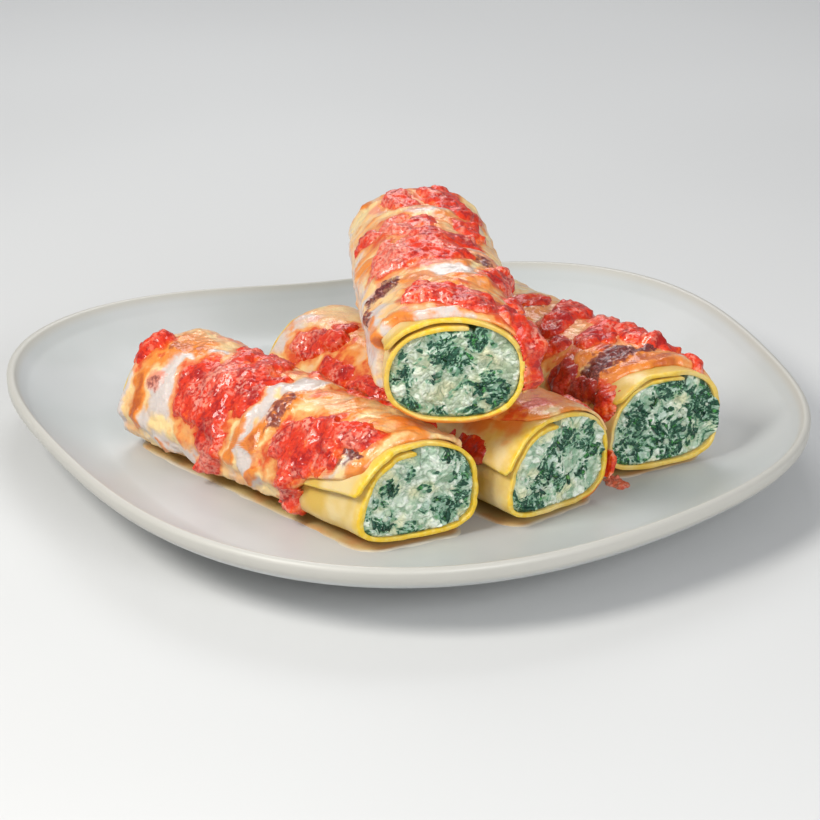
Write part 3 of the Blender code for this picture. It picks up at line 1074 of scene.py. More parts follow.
def right_roll() -> Roll:
    """The roll at the right and back.

    Returns:
        The roll.
    """
    return Roll(
        name="right", rear=(15.8, 65.6), front=(77.3, -25.4), rest=8.3, width=41.0, height=31.0,
        end_turn=4.0, flap=(158, 150), pitch=1.9, coat_left=(190, 182, 164), coat_right=12, seed=37,
        yellow=0.55, spill=0.5, scraps=0.18, slant=0.2,
        leaves=(
            (0.06, 0.74, 0.24, 0.8), (0.3, 0.66, 0.18, 0.7), (-0.45, 0.26, 0.24, 0.8),
            (-0.52, -0.16, 0.24, 0.8), (0.7, 0.25, 0.3, 0.9), (0.86, -0.06, 0.2, 0.9),
            (-0.04, 0.1, 0.13, 0.7), (-0.12, -0.32, 0.2, 0.8), (0.2, -0.26, 0.18, 0.8),
            (-0.42, -0.52, 0.2, 0.8), (0.42, -0.36, 0.2, 0.8), (-0.62, -0.86, 0.22, 0.9),
            (-0.8, -0.58, 0.2, 0.9), (0.1, -0.66, 0.2, 0.7)),
        bare=((20, 3.5), (60, 3.6), (90, 5.0), (110, 6.2), (138, 7.5), (150, 10), (166, 13)),
        strokes=strokes({
            Mark.TOMATO: ((3.6, 1.9, (42, 100), (45, 84)), (5.0, 3.3, (64, 112), (61, 98)),
                (5.0, 3.2, (60, 90), (54, 66)), (4.4, 2.4, (72, 126), (70, 136)),
                (5.2, 3.2, (79, 104), (77, 88)), (4.6, 2.9, (75, 82), (68, 58)),
                (4.6, 2.3, (82, 144), (82, 156)), (3.4, 1.6, (90, 150), (97, 150)),
                (4.6, 2.4, (104, 146), (104, 160)), (3.2, 2.3, (84, 92)), (5.0, 3.9, (80, 68), (89, 62)),
                (2.8, 2.6, (90, 57), (94, 54)), (2.4, 2.4, (99, 52), (107, 50)),
                (4.0, 1.8, (20, 130), (32, 122))),
            Mark.WHITE: ((3.6, 0.9, (83, 122), (82, 112)), (2.0, 0.9, (92, 94)),
                (3.0, 0.8, (90, 70), (84, 56)), (2.4, 0.7, (106, 84), (104, 60))),
            Mark.GOLD: ((8.0, 1.0, (40, 92), (50, 100)), (4.4, 1.35, (101, 134), (101, 78)),
                (3.0, 1.3, (88, 104), (86, 126)), (3.0, 0.9, (86, 82), (90, 100)), (4.0, 0.8, (55, 112)),
                (4.0, 0.8, (98, 60), (94, 50))),
            Mark.CHAR: ((5.0, 1.15, (93, 132), (94, 104)), (2.0, 1.05, (96, 92), (90, 62)),
                (3.0, 0.8, (92, 142), (97, 144)), (2.6, 0.7, (46, 92))),
            Mark.STAIN: ((5.0, 0.9, (74, 116)), (4.6, 0.9, (88, 108), (84, 96)), (6.0, 0.7, (66, 82)),
                (5.0, 0.8, (80, 132)), (5.0, 0.7, (50, 86))),
            Mark.ROSE: ((5.0, 0.7, (70, 66)), (4.0, 0.6, (100, 66))),
            Mark.DEEP: ((5.0, 0.9, (82, 142), (82, 158)), (4.0, 1.0, (92, 150), (98, 150)),
                (4.0, 0.6, (104, 150)), (4.0, 0.5, (64, 120), (74, 126)))}))


def top_roll() -> Roll:
    """The roll that lies across the other three.

    Returns:
        The roll.
    """
    return Roll(
        name="top", rear=(4.3, 44.6), front=(14.5, -70.2), rest=39.9, width=42.0, height=32.4,
        end_turn=2.0, flap=(160, 157), pitch=2.2, bottom_power=2.4, slant=0.1, coat_depth=1.3,
        coat_left=(212, 210, 206), coat_right=-24, seed=53, flap_lift=0.35, dull=0.75, spill=0.1,
        scraps=0.13,
        leaves=(
            (-0.18, 0.62, 0.22, 0.9), (-0.06, 0.32, 0.22, 0.9), (0.06, 0.2, 0.2, 0.9),
            (0.33, 0.62, 0.17, 1.0), (0.3, 0.84, 0.15, 0.9), (0.44, -0.18, 0.18, 0.9),
            (0.6, -0.42, 0.18, 0.9), (-0.57, -0.57, 0.15, 1.0), (-0.62, -0.04, 0.15, 0.7),
            (-0.86, -0.16, 0.11, 0.8), (0.26, -0.84, 0.15, 0.8), (-0.18, -0.68, 0.13, 0.5)),
        bare=((-20, 2), (60, 1.0), (105, 1.2), (118, 2.5), (132, 6.5), (158, 9.5), (176, 8), (205, 6)),
        strokes=strokes({
            Mark.TOMATO: ((4.4, 1.6, (10, 106), (16, 103)), (5.6, 2.3, (6, 72), (18, 66), (22, 52)),
                (4.0, 1.9, (36, 60), (42, 54)), (3.6, 1.6, (32, 145), (35, 138)),
                (3.6, 1.9, (43, 116), (44, 110)), (4.6, 1.4, (38, 98), (46, 95)),
                (3.4, 1.0, (30, 112), (36, 118)), (6.8, 2.7, (58, 104), (68, 112)),
                (7.0, 2.7, (60, 92), (67, 86)), (4.2, 2.0, (52, 92), (53, 64)),
                (4.0, 1.8, (68, 124), (58, 128)), (4.0, 1.2, (52, 128), (62, 136)),
                (4.8, 2.4, (62, 24), (80, 44)), (3.4, 1.8, (93, 106), (97, 112)),
                (5.6, 2.8, (98, 110), (101, 92)), (5.8, 2.8, (101, 92), (106, 70)), (2.6, 1.8, (100, 122)),
                (5.2, 3.4, (108, 40), (110, 24)), (6.6, 5.2, (109, 16), (108, -8)),
                (4.6, 2.6, (94, 30), (88, 22))),
            Mark.WHITE: ((4.0, 0.9, (25, 90), (26, 80)), (5.2, 1.1, (77, 88), (80, 76)),
                (3.0, 1.0, (114, 112), (114, 84)), (4.0, 0.8, (92, 150), (98, 160)),
                (3.0, 0.7, (58, 58), (66, 46)), (2.5, 0.8, (107, 148)), (6.0, 0.6, (30, 196), (10, 180)),
                (3.4, 0.7, (86, 66), (80, 60)), (8.0, 0.6, (40, 176), (104, 180))),
            Mark.GOLD: ((2.0, 1.2, (4, 133), (8, 130)), (4.4, 1.15, (32, 74), (34, 64)),
                (5.0, 1.0, (84, 114), (90, 104)), (4.2, 1.0, (90, 88), (88, 58)),
                (5.0, 0.9, (100, 54), (106, 46)), (1.4, 1.0, (84, 160), (98, 156), (108, 160)),
                (2.8, 0.9, (104, 142), (107, 132), (110, 124)), (3.0, 0.9, (48, 156), (56, 150)),
                (4.0, 0.8, (36, 84), (44, 82)), (4.0, 0.7, (22, 140), (26, 130)),
                (2.0, 1.1, (70, 72), (78, 70)), (1.2, 0.8, (110, 166), (112, 190))),
            Mark.CHAR: ((4.6, 1.15, (79, 144), (81, 137)), (3.0, 0.75, (66, 60), (69, 55)),
                (1.6, 0.8, (86, 158), (94, 157)), (2.0, 0.6, (40, 56))),
            Mark.STAIN: ((7.0, 0.8, (10, 100), (18, 86)), (5.0, 0.9, (38, 100), (46, 104)),
                (6.0, 0.8, (28, 122), (40, 136)), (5.0, 0.8, (90, 76), (84, 50)),
                (5.0, 0.45, (56, 154), (44, 150)), (5.0, 0.9, (104, 34), (110, 52)),
                (5.0, 0.7, (72, 36), (60, 50)), (3.0, 0.6, (98, 122), (102, 118)),
                (5.5, 1.1, (115, -62), (115, -122))),
            Mark.ROSE: ((6.0, 1.0, (34, 120), (52, 122), (70, 128)), (5.0, 0.7, (30, 106), (26, 96)),
                (5.0, 0.7, (12, 118)), (4.0, 0.6, (108, 112), (106, 124)))}))

def rolls() -> tuple[Roll, ...]:
    """The four rolls, each with its sauces."""
    return left_roll(), middle_roll(), right_roll(), top_roll()


# ---------------------------------------------------------------- pieces

@dataclass
class Plate:
    """Rounded, shallow plate: an outline of slow waves swept through a thin, lipped profile."""

    radius: float = 120.5
    waves: tuple[tuple[int, float, float], ...] = (  # count, size and angle of each
        (2, 0.010, 42), (3, 0.060, 41), (4, 0.050, -24), (5, 0.015, -6))
    centre: tuple[float, float] = (-4.317, -2.636)
    height: float = 22.0
    floor: float = 8.0
    well_edge: float = 0.78
    wall_curve: float = 1.6
    lip_width: float = 2.8
    lip_drop: float = 3.6
    foot: tuple[float, float] = (0.60, 0.53)
    under: float = 3.0
    steps_round: int = 288

    def reach(self, angle: np.ndarray, share: np.ndarray) -> np.ndarray:
        """Radius at an angle for a share of the outline."""
        wave = sum(size * np.cos(np.radians(count * (angle - phase))) for count, size, phase in self.waves)
        return self.radius * share * (1 + share * wave)

    def profile(self) -> tuple[np.ndarray, np.ndarray]:
        """Outline of the plate's section, from the middle of the well round to the foot.

        Returns:
            Shares of the radius, and heights.
        """
        well = np.concatenate([np.linspace(0.03, self.well_edge, 16),
                               np.linspace(self.well_edge, 0.958, 18)[1:]])
        rise = np.clip((well - self.well_edge) / (1 - self.well_edge), 0, 1)
        heights = self.floor + (self.height - self.floor) * rise ** self.wall_curve
        half = self.lip_width / 2
        turn = np.radians(np.linspace(150, -20, 12))
        lip_shares = 1 - (half - half * np.cos(turn)) / self.radius
        lip_heights = self.height - half * 0.95 + half * 0.95 * np.sin(turn)
        low = self.height - self.lip_drop
        outside = np.array([(0.9985, low), (0.985, low - 2.0), (0.955, low - 4.6), (0.90, low - 7.7),
                            (0.80, low - 11.2), (0.70, 3.9), (0.625, 2.5), (0.61, 1.4), (self.foot[0], 0.25),
                            (0.592, 0.0), (0.54, 0.0), (self.foot[1], 0.25), (0.522, 1.6),
                            (0.50, self.under), (0.30, self.under), (0.04, self.under)])
        steps = np.arange(len(outside))
        fine = np.linspace(0, len(outside) - 1, 3 * len(outside))
        under_shares, under_heights = (np.interp(fine, steps, column) for column in outside.T)
        return (np.concatenate([well, lip_shares, under_shares]),
                np.concatenate([heights, lip_heights, under_heights]))

    def build(self) -> bpy.types.Object:
        """Sweep the profile round, and close it in the middle above and below.

        Returns:
            The object.
        """
        shares, heights = self.profile()
        angle = np.linspace(0, 360, self.steps_round, endpoint=False)
        reach, turn = self.reach(angle, shares[:, None]), np.radians(angle)
        x, y = self.centre
        points = places(reach * np.cos(turn) - x, reach * np.sin(turn) - y, heights[:, None])
        poles = [(-x, -y, self.floor), (-x, -y, self.under)]
        ring = np.arange(self.steps_round)
        after = np.roll(ring, -1)
        top = len(shares) * self.steps_round
        last = top - self.steps_round
        fans = [*places(top, after, ring).tolist(), *places(top + 1, ring + last, after + last).tolist()]
        faces = loop_quads(len(shares), self.steps_round).tolist() + fans
        lip = ease(0.955, 0.985, shares) * ease(self.height - 9, self.height - 3, heights)
        marks = np.append(np.repeat(lip, self.steps_round), [0, 0])
        points = np.concatenate([points.reshape(-1, 3), poles])
        return make_mesh("plate_glazed", points, faces, {"lip": marks})


@dataclass
class Painter:
    """Reads the strokes of one roll at any place on it."""

    roll: Roll

    def key(self, along: np.ndarray, angle: np.ndarray) -> np.ndarray:
        """Places on the unrolled surface, in millimetres, for reading noise."""
        return places(along, np.radians(angle) * self.roll.radius, 10.0 * self.roll.seed)

    def wander(self, along: np.ndarray, angle: np.ndarray) -> np.ndarray:
        """Unrolled places, moved a little so that no stroke keeps a clean border.

        Args:
            along: Distances along the roll.
            angle: Angles round the roll.

        Returns:
            Two numbers for each place.
        """
        key = self.key(along, angle)
        shifts = (1.6 * soft_noise(key, 6.5, seed) + 1.15 * soft_noise(key, 2.8, seed + 1)
                  + 0.55 * soft_noise(key, 1.3, seed + 2) for seed in (31, 41))
        return key[..., :2] + places(*shifts)

    def gap(self, stroke: Stroke, spots: np.ndarray) -> np.ndarray:
        """Distance from a stroke's path as a share of its reach.

        Args:
            stroke: The stroke.
            spots: Wandered places.

        Returns:
            One number for each place.
        """
        path = np.array(stroke.path) * [1, math.radians(self.roll.radius)]
        nearest = np.linalg.norm(spots - path[0], axis=-1)
        for start, end in zip(path, path[1:]):
            step = end - start
            share = np.clip((spots - start) @ step / (step @ step), 0, 1)
            away = np.linalg.norm(spots - start - share[..., None] * step, axis=-1)
            nearest = np.minimum(nearest, away)
        return nearest / stroke.reach

    def strength(self, mark: Mark, spots: np.ndarray) -> np.ndarray:
        """Strength of one mark at every wandered place.

        Args:
            mark: The mark.
            spots: Wandered places.

        Returns:
            One number for each place, 0 away from its strokes.
        """
        total = np.zeros(spots.shape[:-1])
        for stroke in self.roll.strokes:
            if stroke.mark is mark:
                total = np.maximum(total, stroke.strength * ease(1.65, 0.25, self.gap(stroke, spots)))
        return total

    def heap(self, spots: np.ndarray) -> tuple[np.ndarray, np.ndarray]:
        """Shape of the tomato sauce.

        Args:
            spots: Wandered places.

        Returns:
            Height of the sauce in millimetres, and how far outside it a place is.
        """
        height, outside = np.zeros(spots.shape[:-1]), np.full(spots.shape[:-1], 9.0)
        for stroke in self.roll.strokes:
            if stroke.mark is Mark.TOMATO:
                gap = self.gap(stroke, spots)
                dome = stroke.strength * np.clip(1 - gap ** 2, 0, 1) ** 0.6
                height = np.maximum(height, dome) + 0.25 * np.minimum(height, dome)
                outside = np.minimum(outside, gap)
        return height, outside


@dataclass
class PastaSheet:
    """The sheet of one roll, wound clockwise from its outer flap to its inner end."""

    roll: Roll
    thickness: float = SHEET_THICKNESS
    turn: float = SHEET_TURN
    steps_round: int = 230
    steps_along: int = 70
    round_over: float = 0.34  # of the edges at both ends
    end_margin: float = 1.4  # from an end to the first even step
    wave: float = 13.0  # slow waves of the boiled sheet
    patch: float = 9.0  # thicker and thinner places
    tear: float = 7.0  # how far from an end its ragged edge is felt

    def stations(self) -> np.ndarray:
        """Distances along the roll of the sheet's corners, close together where its edge rounds over.

        Returns:
            Distances from the rear end.
        """
        edge = np.array([0.0, 0.10, self.round_over])
        even = np.linspace(self.end_margin, self.roll.length - self.end_margin, self.steps_along)
        return np.concatenate([edge, even, self.roll.length - edge[::-1]])

    def build(self) -> bpy.types.Object:
        """Build the wound sheet as a closed loop of corners, repeated along the roll.

        Returns:
            The object.
        """
        roll = self.roll
        along = self.stations()
        from_end = np.minimum(along, roll.length - along)
        s, t = np.meshgrid(along, np.linspace(0, self.turn, self.steps_round + 1), indexing="ij")
        from_edge = np.minimum(t, self.turn - t)
        key = places(s, 0.35 * t, 10.0 * roll.seed)
        angle = roll.flap_angle(s) + (roll.flap[1] - roll.flap_angle(s)) * ease(0, 120, t) - t
        angle = angle + 2.4 * soft_noise(key * [1, 0, 1], 14, roll.seed) * ease(40, 0, t)
        depth = roll.pitch * t / 360 + self.thickness / 2
        depth = depth + 0.22 * rough_noise(key, self.wave, roll.seed + 1) * ease(0.0, 12, t)
        depth = depth - roll.raised(s, roll.flap_angle(s) - t)
        thin = np.sqrt(np.clip(1 - (1 - from_end / self.round_over) ** 2, 0.1, 1)) * 0.3 + 0.7
        thin = np.where(from_end >= self.round_over, 1.0, thin)
        half = self.thickness / 2 * thin[:, None] * (0.55 + 0.45 * ease(0, 3, from_edge))
        half = half * (1 + 0.20 * rough_noise(key, self.patch, roll.seed + 6))
        in_front, near_end = s / roll.length > 0.5, ease(self.tear, 0, from_end)[:, None]
        ragged = rough_noise(places(t * 0.4, 0, roll.seed), 9, 3)
        reach = s + np.where(in_front, 0.55, -0.45) * ragged * near_end
        reach = reach - 1.1 * ease(7, 0, t) * np.where(in_front, near_end, -near_end)
        outer = roll.surface(reach, angle, -(depth - half))
        inner = roll.surface(reach, angle, -(depth + half))
        loop = np.concatenate([outer, inner[:, ::-1]], axis=1)
        rows, columns = loop.shape[:2]
        left = np.arange(self.steps_round)
        right = columns - 1 - left
        ends = [base + places(left, left + 1, right - 1, right) for base in (0, (rows - 1) * columns)]
        faces = np.concatenate([loop_quads(rows, columns), *ends])
        cut = np.maximum(ease(0.9, 0.3, from_end)[:, None], ease(4.0, 1.0, from_edge))
        cut = np.maximum(cut, ease(8.0, 1.0, from_end)[:, None] * 0.55)
        cut = np.where(from_end[:, None] < 3, cut, 0.6 * cut)
        boiled = np.clip(0.72 + 0.5 * rough_noise(key * [0.3, 1, 1], 16, roll.seed + 4, 2), 0.3, 1.0)
        cut = cut * roll.yellow * boiled
        painter = Painter(roll)
        stain = painter.strength(Mark.STAIN, painter.wander(s, angle)) * ease(420, 330, t)
        marks = {"cut": np.concatenate([cut, cut[:, ::-1]], 1),
                 "stain": np.concatenate([stain, 0 * stain], 1)}
        return make_mesh(f"pasta_sheet_{roll.name}", loop.reshape(-1, 3), faces, marks)


@dataclass
class Filling:
    """Ricotta and spinach through one roll, crumbly where it was cut."""

    roll: Roll
    recess: float = 0.15  # of the broken faces behind the sheet's ends
    cells: int = 118  # corners along each side of a broken face's grid
    side_rows: int = 6
    curd: float = 2.6
    crumb: float = 0.45  # of a curd
    shred: float = 2.5
    slender: float = 2.1  # length of a shred in its own widths
    chopped: float = 1.15  # finest bits of leaf
    swell: float = 7.0  # slow unevenness of a broken face
    gap: float = 0.1  # between the filling and the sheet
    margin: int = 5  # corners at a face's border where no loose bits are sown
    spacing: int = 3  # from one corner of their ground to the next

    def __post_init__(self) -> None:
        """Shape both broken faces, front first, which the filling shares with its loose bits."""
        self.caps = self.cap(True), self.cap(False)

    def outline(self, angle: np.ndarray) -> np.ndarray:
        """Depth of the filling under the roll's outline at an angle.

        Args:
            angle: Angles round the roll in degrees.

        Returns:
            Depth in millimetres at each angle.
        """
        turned = np.mod(self.roll.flap[1] - angle, 360)
        inner = np.where(turned < SHEET_TURN - 354, turned + 360, turned)
        return SHEET_THICKNESS + self.gap + self.roll.pitch * np.minimum(inner, SHEET_TURN) / 360

    def disk(self) -> tuple[np.ndarray, np.ndarray]:
        """Bend a square grid into a disk.

        Returns:
            Angle and share of the radius of each of its places.
        """
        line = np.linspace(-1, 1, self.cells)
        u, v = np.meshgrid(line, line, indexing="ij")
        wide = np.abs(u) >= np.abs(v)
        major, minor = np.where(wide, u, v), np.where(wide, v, u)
        lean = math.pi / 4 * minor / np.where(major == 0, 1, major)
        x = np.where(wide, major * np.cos(lean), major * np.sin(lean))
        y = np.where(wide, major * np.sin(lean), major * np.cos(lean))
        return np.degrees(np.arctan2(y, x)), np.hypot(x, y)

    def crowding(self, side: np.ndarray, rise: np.ndarray, at_front: bool) -> np.ndarray:
        """How leafy the filling is at places of a broken face.

        Args:
            side: Distances to the right of the roll's axis.
            rise: Heights above the axis.
            at_front: True for the front end; the rear end has the same clusters, mirrored.

        Returns:
            Numbers from 0, all curd, to 1, all leaf.
        """
        half = self.roll.width / 2
        side = side if at_front else -side
        total = np.zeros_like(side)
        for across, up, reach, share in self.roll.leaves:
            gap = np.hypot(side / half - across, rise / half - up * self.roll.height / self.roll.width)
            total = np.maximum(total, share * ease(1.45, 0.35, gap / reach))
        return total

    def cap(self, at_front: bool) -> tuple[np.ndarray, dict[str, np.ndarray]]:
        """Broken face at one end.

        Args:
            at_front: True for the front end.

        Returns:
            Grid of places, and the marks on it.
        """
        roll = self.roll
        angle, share = self.disk()
        turn = np.radians(angle)
        ring = places(8 * np.cos(turn), 8 * np.sin(turn), roll.seed)
        spilt = np.clip(roll.spill * (0.55 + 1.1 * rough_noise(ring, 4, 12 + at_front)), 0, 1.3)
        spilt = spilt * ease(-0.75, -0.2, np.sin(turn))
        side, rise = roll.section(angle, spilt - self.outline(angle))
        side, rise = share * side, share * rise
        key = places(side, rise, 40.0 * roll.seed + 90 * at_front)
        warp = sway(key, 3.4, (5, 15))
        bent = key + 0.9 * warp
        lumps, tag = pebbles(bent, self.curd, roll.seed)
        crumbs, crumb_tag = pebbles(bent, self.curd * self.crumb, roll.seed + 1)

        # Shreds are stretched cells that turn slowly from place to place.
        lean = roll.seed * 0.3 + at_front + 1.3 * soft_noise(key, 9, roll.seed + 6)
        x, y, z = np.moveaxis(bent, -1, 0)
        turned = places(x * np.cos(lean) + y * np.sin(lean),
                        self.slender * (y * np.cos(lean) - x * np.sin(lean)), z)
        shreds, shred_tag = pebbles(turned + 0.9 * warp, self.shred, roll.seed + 4)
        bits, bit_tag = pebbles(bent + 0.5 * warp, self.chopped, roll.seed + 15)
        crowd = self.crowding(side + 1.1 * warp[..., 0], rise + 1.1 * warp[..., 1], at_front)
        wanted = roll.scraps + 0.60 * crowd + 0.05 * rough_noise(key, 5, roll.seed + 3)
        leaf = ease(-0.06, 0.18, wanted - 0.85 * shred_tag) * ease(-0.02, 0.16, shreds)
        flecks = ease(-0.06, 0.24, wanted - 0.9 * bit_tag) * ease(0.0, 0.2, bits)
        leaf = np.maximum(leaf * (0.85 + 0.5 * rough_noise(key, 1.3, roll.seed + 17, 2)), 0.95 * flecks)
        leaf = np.clip(leaf, 0, 1)

        # Curds stand up in rounded crumbs, leaves in folds, and the border falls away.
        height = 0.46 * ease(-0.1, 0.7, lumps) + 0.30 * ease(0, 0.6, crumbs) + 0.5 * (tag - MIDDLE) + 0.1
        height = height + 0.8 * rough_noise(key, self.swell, roll.seed + 2)
        height = height + 0.38 * rough_noise(bent, 2.3, roll.seed + 5)
        folded = 0.65 * ease(0, 0.4, shreds) + 0.5 * rough_noise(turned, 1.4, roll.seed + 8, 2) - 0.15
        height = height * (1 - leaf) + (folded + 0.4 * height) * leaf
        border, over = ease(1.0, 0.93, share), ease(0, 0.5, spilt)
        height = height * (0.45 + 0.55 * border) - (0.55 - 2.1 * over) * (1 - border)
        # Painted shade: darker in the gaps between curds and where the face's border falls away.
        hollow = (ease(0.2, 0.0, lumps) * 0.35 + ease(0.25, 0.0, crumbs) * 0.4) * (1 - leaf)
        hollow = hollow + 0.35 * (1 - border) * (1 - over)
        end, sign = (roll.length - self.recess, 1) if at_front else (self.recess, -1)
        marks = {"leaf": leaf, "hollow": hollow, "crowd": crowd, "dull": roll.dull * (0.6 + tag * 0.6),
                 "tone": 0.62 * tag + 0.38 * crumb_tag}
        return roll.place(end + sign * np.clip(height - 0.55, -2.4, 1.2), side, rise), marks

    def build(self) -> bpy.types.Object:
        """Build the filling from one broken face through the roll to the other.

        Returns:
            The object.
        """
        roll, count = self.roll, self.cells
        (front, front_marks), (rear, rear_marks) = self.caps
        corner = np.arange(count * count).reshape(count, count)
        ring = np.concatenate([corner[0, :-1], corner[:-1, -1], corner[-1, :0:-1], corner[:0:-1, 0]])
        angle = self.disk()[0].ravel()[ring]
        along = np.linspace(roll.length - 4, 4, self.side_rows)
        side, rise = roll.section(angle, -self.outline(angle) - 0.05)
        walls = roll.place(along[:, None], side[None], rise[None]).reshape(-1, 3)
        points = np.concatenate([front.reshape(-1, 3), walls, rear.reshape(-1, 3)])
        cells, blank = grid_quads(count, count), np.zeros(len(walls))
        last = count * count + len(walls)
        rows = [ring, *(count * count + np.arange(len(walls)).reshape(self.side_rows, -1)), last + ring]
        bands = [places(upper, np.roll(upper, -1), np.roll(lower, -1), lower)
                 for upper, lower in zip(rows, rows[1:])]
        faces = np.concatenate([cells, cells[:, ::-1] + last, *bands])
        marks = {name: np.concatenate([mark.ravel(), blank, rear_marks[name].ravel()])
                 for name, mark in front_marks.items()}
        return make_mesh(f"ricotta_filling_{roll.name}", points, faces, marks)

    def sowing_ground(self, greens: bool) -> bpy.types.Object:
        """Open patches on both broken faces, for loose bits to be sown on.

        Args:
            greens: True to favour the leafy places, False to favour the curds.

        Returns:
            The ground, with its crowding kept as "crowd".
        """
        points, faces, crowd = [], [], []
        inside = slice(self.margin, -self.margin, self.spacing)
        for (grid, marks), turn in zip(self.caps, (-1, 1)):
            grid, leaf = grid[inside, inside], marks["leaf"][inside, inside]
            faces.append(grid_quads(*grid.shape[:2], sum(map(len, points)))[:, ::turn])
            points.append(grid.reshape(-1, 3))
            crowd.append((leaf if greens else 1 - leaf).ravel())
        return make_mesh("ground", np.concatenate(points), np.concatenate(faces),
                         {"crowd": np.concatenate(crowd)}, closed=False)


@dataclass
class WhiteCoat:
    """Baked white sauce over one roll, with a wandering border and lumps of cheese."""

    roll: Roll
    thinnest: float = 0.14
    border: float = 2.8  # width over which the coat thins out
    cheese: float = 4.6  # melted lumps
    blister: float = 1.9
    fold: float = 3.4
    swell: float = 9.0  # slow rise and fall of the whole coat
    under: float = 0.5  # how far it reaches into the pasta
    steps_along: int = 240
    steps_round: int = 130

    def sides(self, along: np.ndarray) -> tuple[np.ndarray, np.ndarray]:
        """Angles of the left and right border at a distance along the roll.

        Args:
            along: Distances from the rear end in millimetres.

        Returns:
            Left and right angle in degrees.
        """
        roll = self.roll
        key = places(along, 0, 5 * roll.seed)
        left = np.interp(along / roll.length, (0.0, 0.5, 1.0), roll.coat_left)
        return (left + 6 * rough_noise(key, 14, roll.seed),
                roll.coat_right + 6 * rough_noise(key, 12, roll.seed + 5))

    def ends(self, angle: np.ndarray) -> tuple[np.ndarray, np.ndarray]:
        """Distances along the roll of the rear and front border at an angle.

        Args:
            angle: Angles round the roll in degrees.

        Returns:
            Rear and front distance in millimetres.
        """
        roll = self.roll
        key = places(angle * DEGREE, 0, roll.seed)
        bare = np.interp(angle, *np.transpose(roll.bare))
        bare = bare + (0.5 + 0.1 * bare) * rough_noise(key, 7, roll.seed + 9)
        return 1.0 + 0.8 * rough_noise(key, 9, roll.seed + 8), roll.length - np.maximum(bare, 0.5)

    def thick(self, along: np.ndarray, angle: np.ndarray,
              spots: np.ndarray) -> tuple[np.ndarray, dict[str, np.ndarray]]:
        """Thickness of the coat, 0 where there is none, and its marks.

        Args:
            along: Distances along the roll.
            angle: Angles round the roll.
            spots: The same places, wandered.

        Returns:
            Thickness in millimetres, and the strength of each mark.
        """
        roll, painter = self.roll, Painter(self.roll)
        left, right = self.sides(along)
        rear, front = self.ends(angle)
        edge = np.minimum.reduce([along - rear, front - along,
                                  (left - angle) * DEGREE, (angle - right) * DEGREE])
        share = np.clip(edge / self.border, 0, 1)
        taper = np.sqrt(share * (2 - share))
        key = painter.key(along, angle)
        bent = key + 1.4 * sway(key, 5, (61, 71))
        curds, _ = pebbles(bent, self.cheese, roll.seed + 10)
        blister = ease(0.0, 0.5, pebbles(bent, self.blister, roll.seed + 14)[0])
        ridge = rough_noise(bent * [1, 0.5, 1], self.fold, roll.seed + 12, 4)
        marks = {mark.value: painter.strength(mark, spots) for mark in Mark if mark is not Mark.TOMATO}
        white, gold, char, rose = (marks[name] for name in ("white", "gold", "char", "rose"))
        body = 0.75 + 0.5 * rough_noise(key, self.swell, roll.seed + 11) + 0.25 * ease(0.02, 0.5, curds)
        body = body + (0.24 + 0.3 * np.minimum(gold + rose + char, 1)) * ridge
        body = body + 0.85 * white + 0.6 * np.minimum(gold, 1) + 0.45 * rose
        body = body + char * (0.3 + 0.7 * blister + 0.5 * ridge)
        marks["stain"] = np.maximum(marks["stain"], 0.85 * ease(1.75, 1.0, painter.heap(spots)[1]))
        marks["gold"] = gold + 0.30 * ease(1.6, 0.2, edge)
        marks["ridge"] = np.clip(0.5 + 0.5 * ridge, 0, 1)
        return (self.thinnest + roll.coat_depth * np.clip(body, 0.1, 2.4)) * taper, marks

    def build(self) -> bpy.types.Object:
        """Build the coat as a thin shell over the pasta.

        Returns:
            The object.
        """
        roll = self.roll
        u = np.linspace(0, 1, self.steps_along)[:, None]
        v = np.linspace(0, 1, self.steps_round)[None, :]
        left, right = roll.coat_left[1], roll.coat_right
        for _ in range(2):   # the borders depend on each other: first roughly, then as they lie
            angle = left + (right - left) * v
            rear, front = self.ends(angle)
            along = rear + (front - rear) * u
            left, right = self.sides(along)
        thick, marks = self.thick(along, angle, Painter(roll).wander(along, angle))
        stand = roll.raised(along, angle)
        past = roll.flap_angle(along) - angle
        step = roll.pitch * ease(3, -1, past) * ease(-26, -14, past)
        top = roll.surface(along, angle, self.thinnest + thick + stand)
        bottom = roll.surface(along, angle, stand - self.under - step)
        return shell_mesh(f"white_coat_{roll.name}", top, bottom, marks)


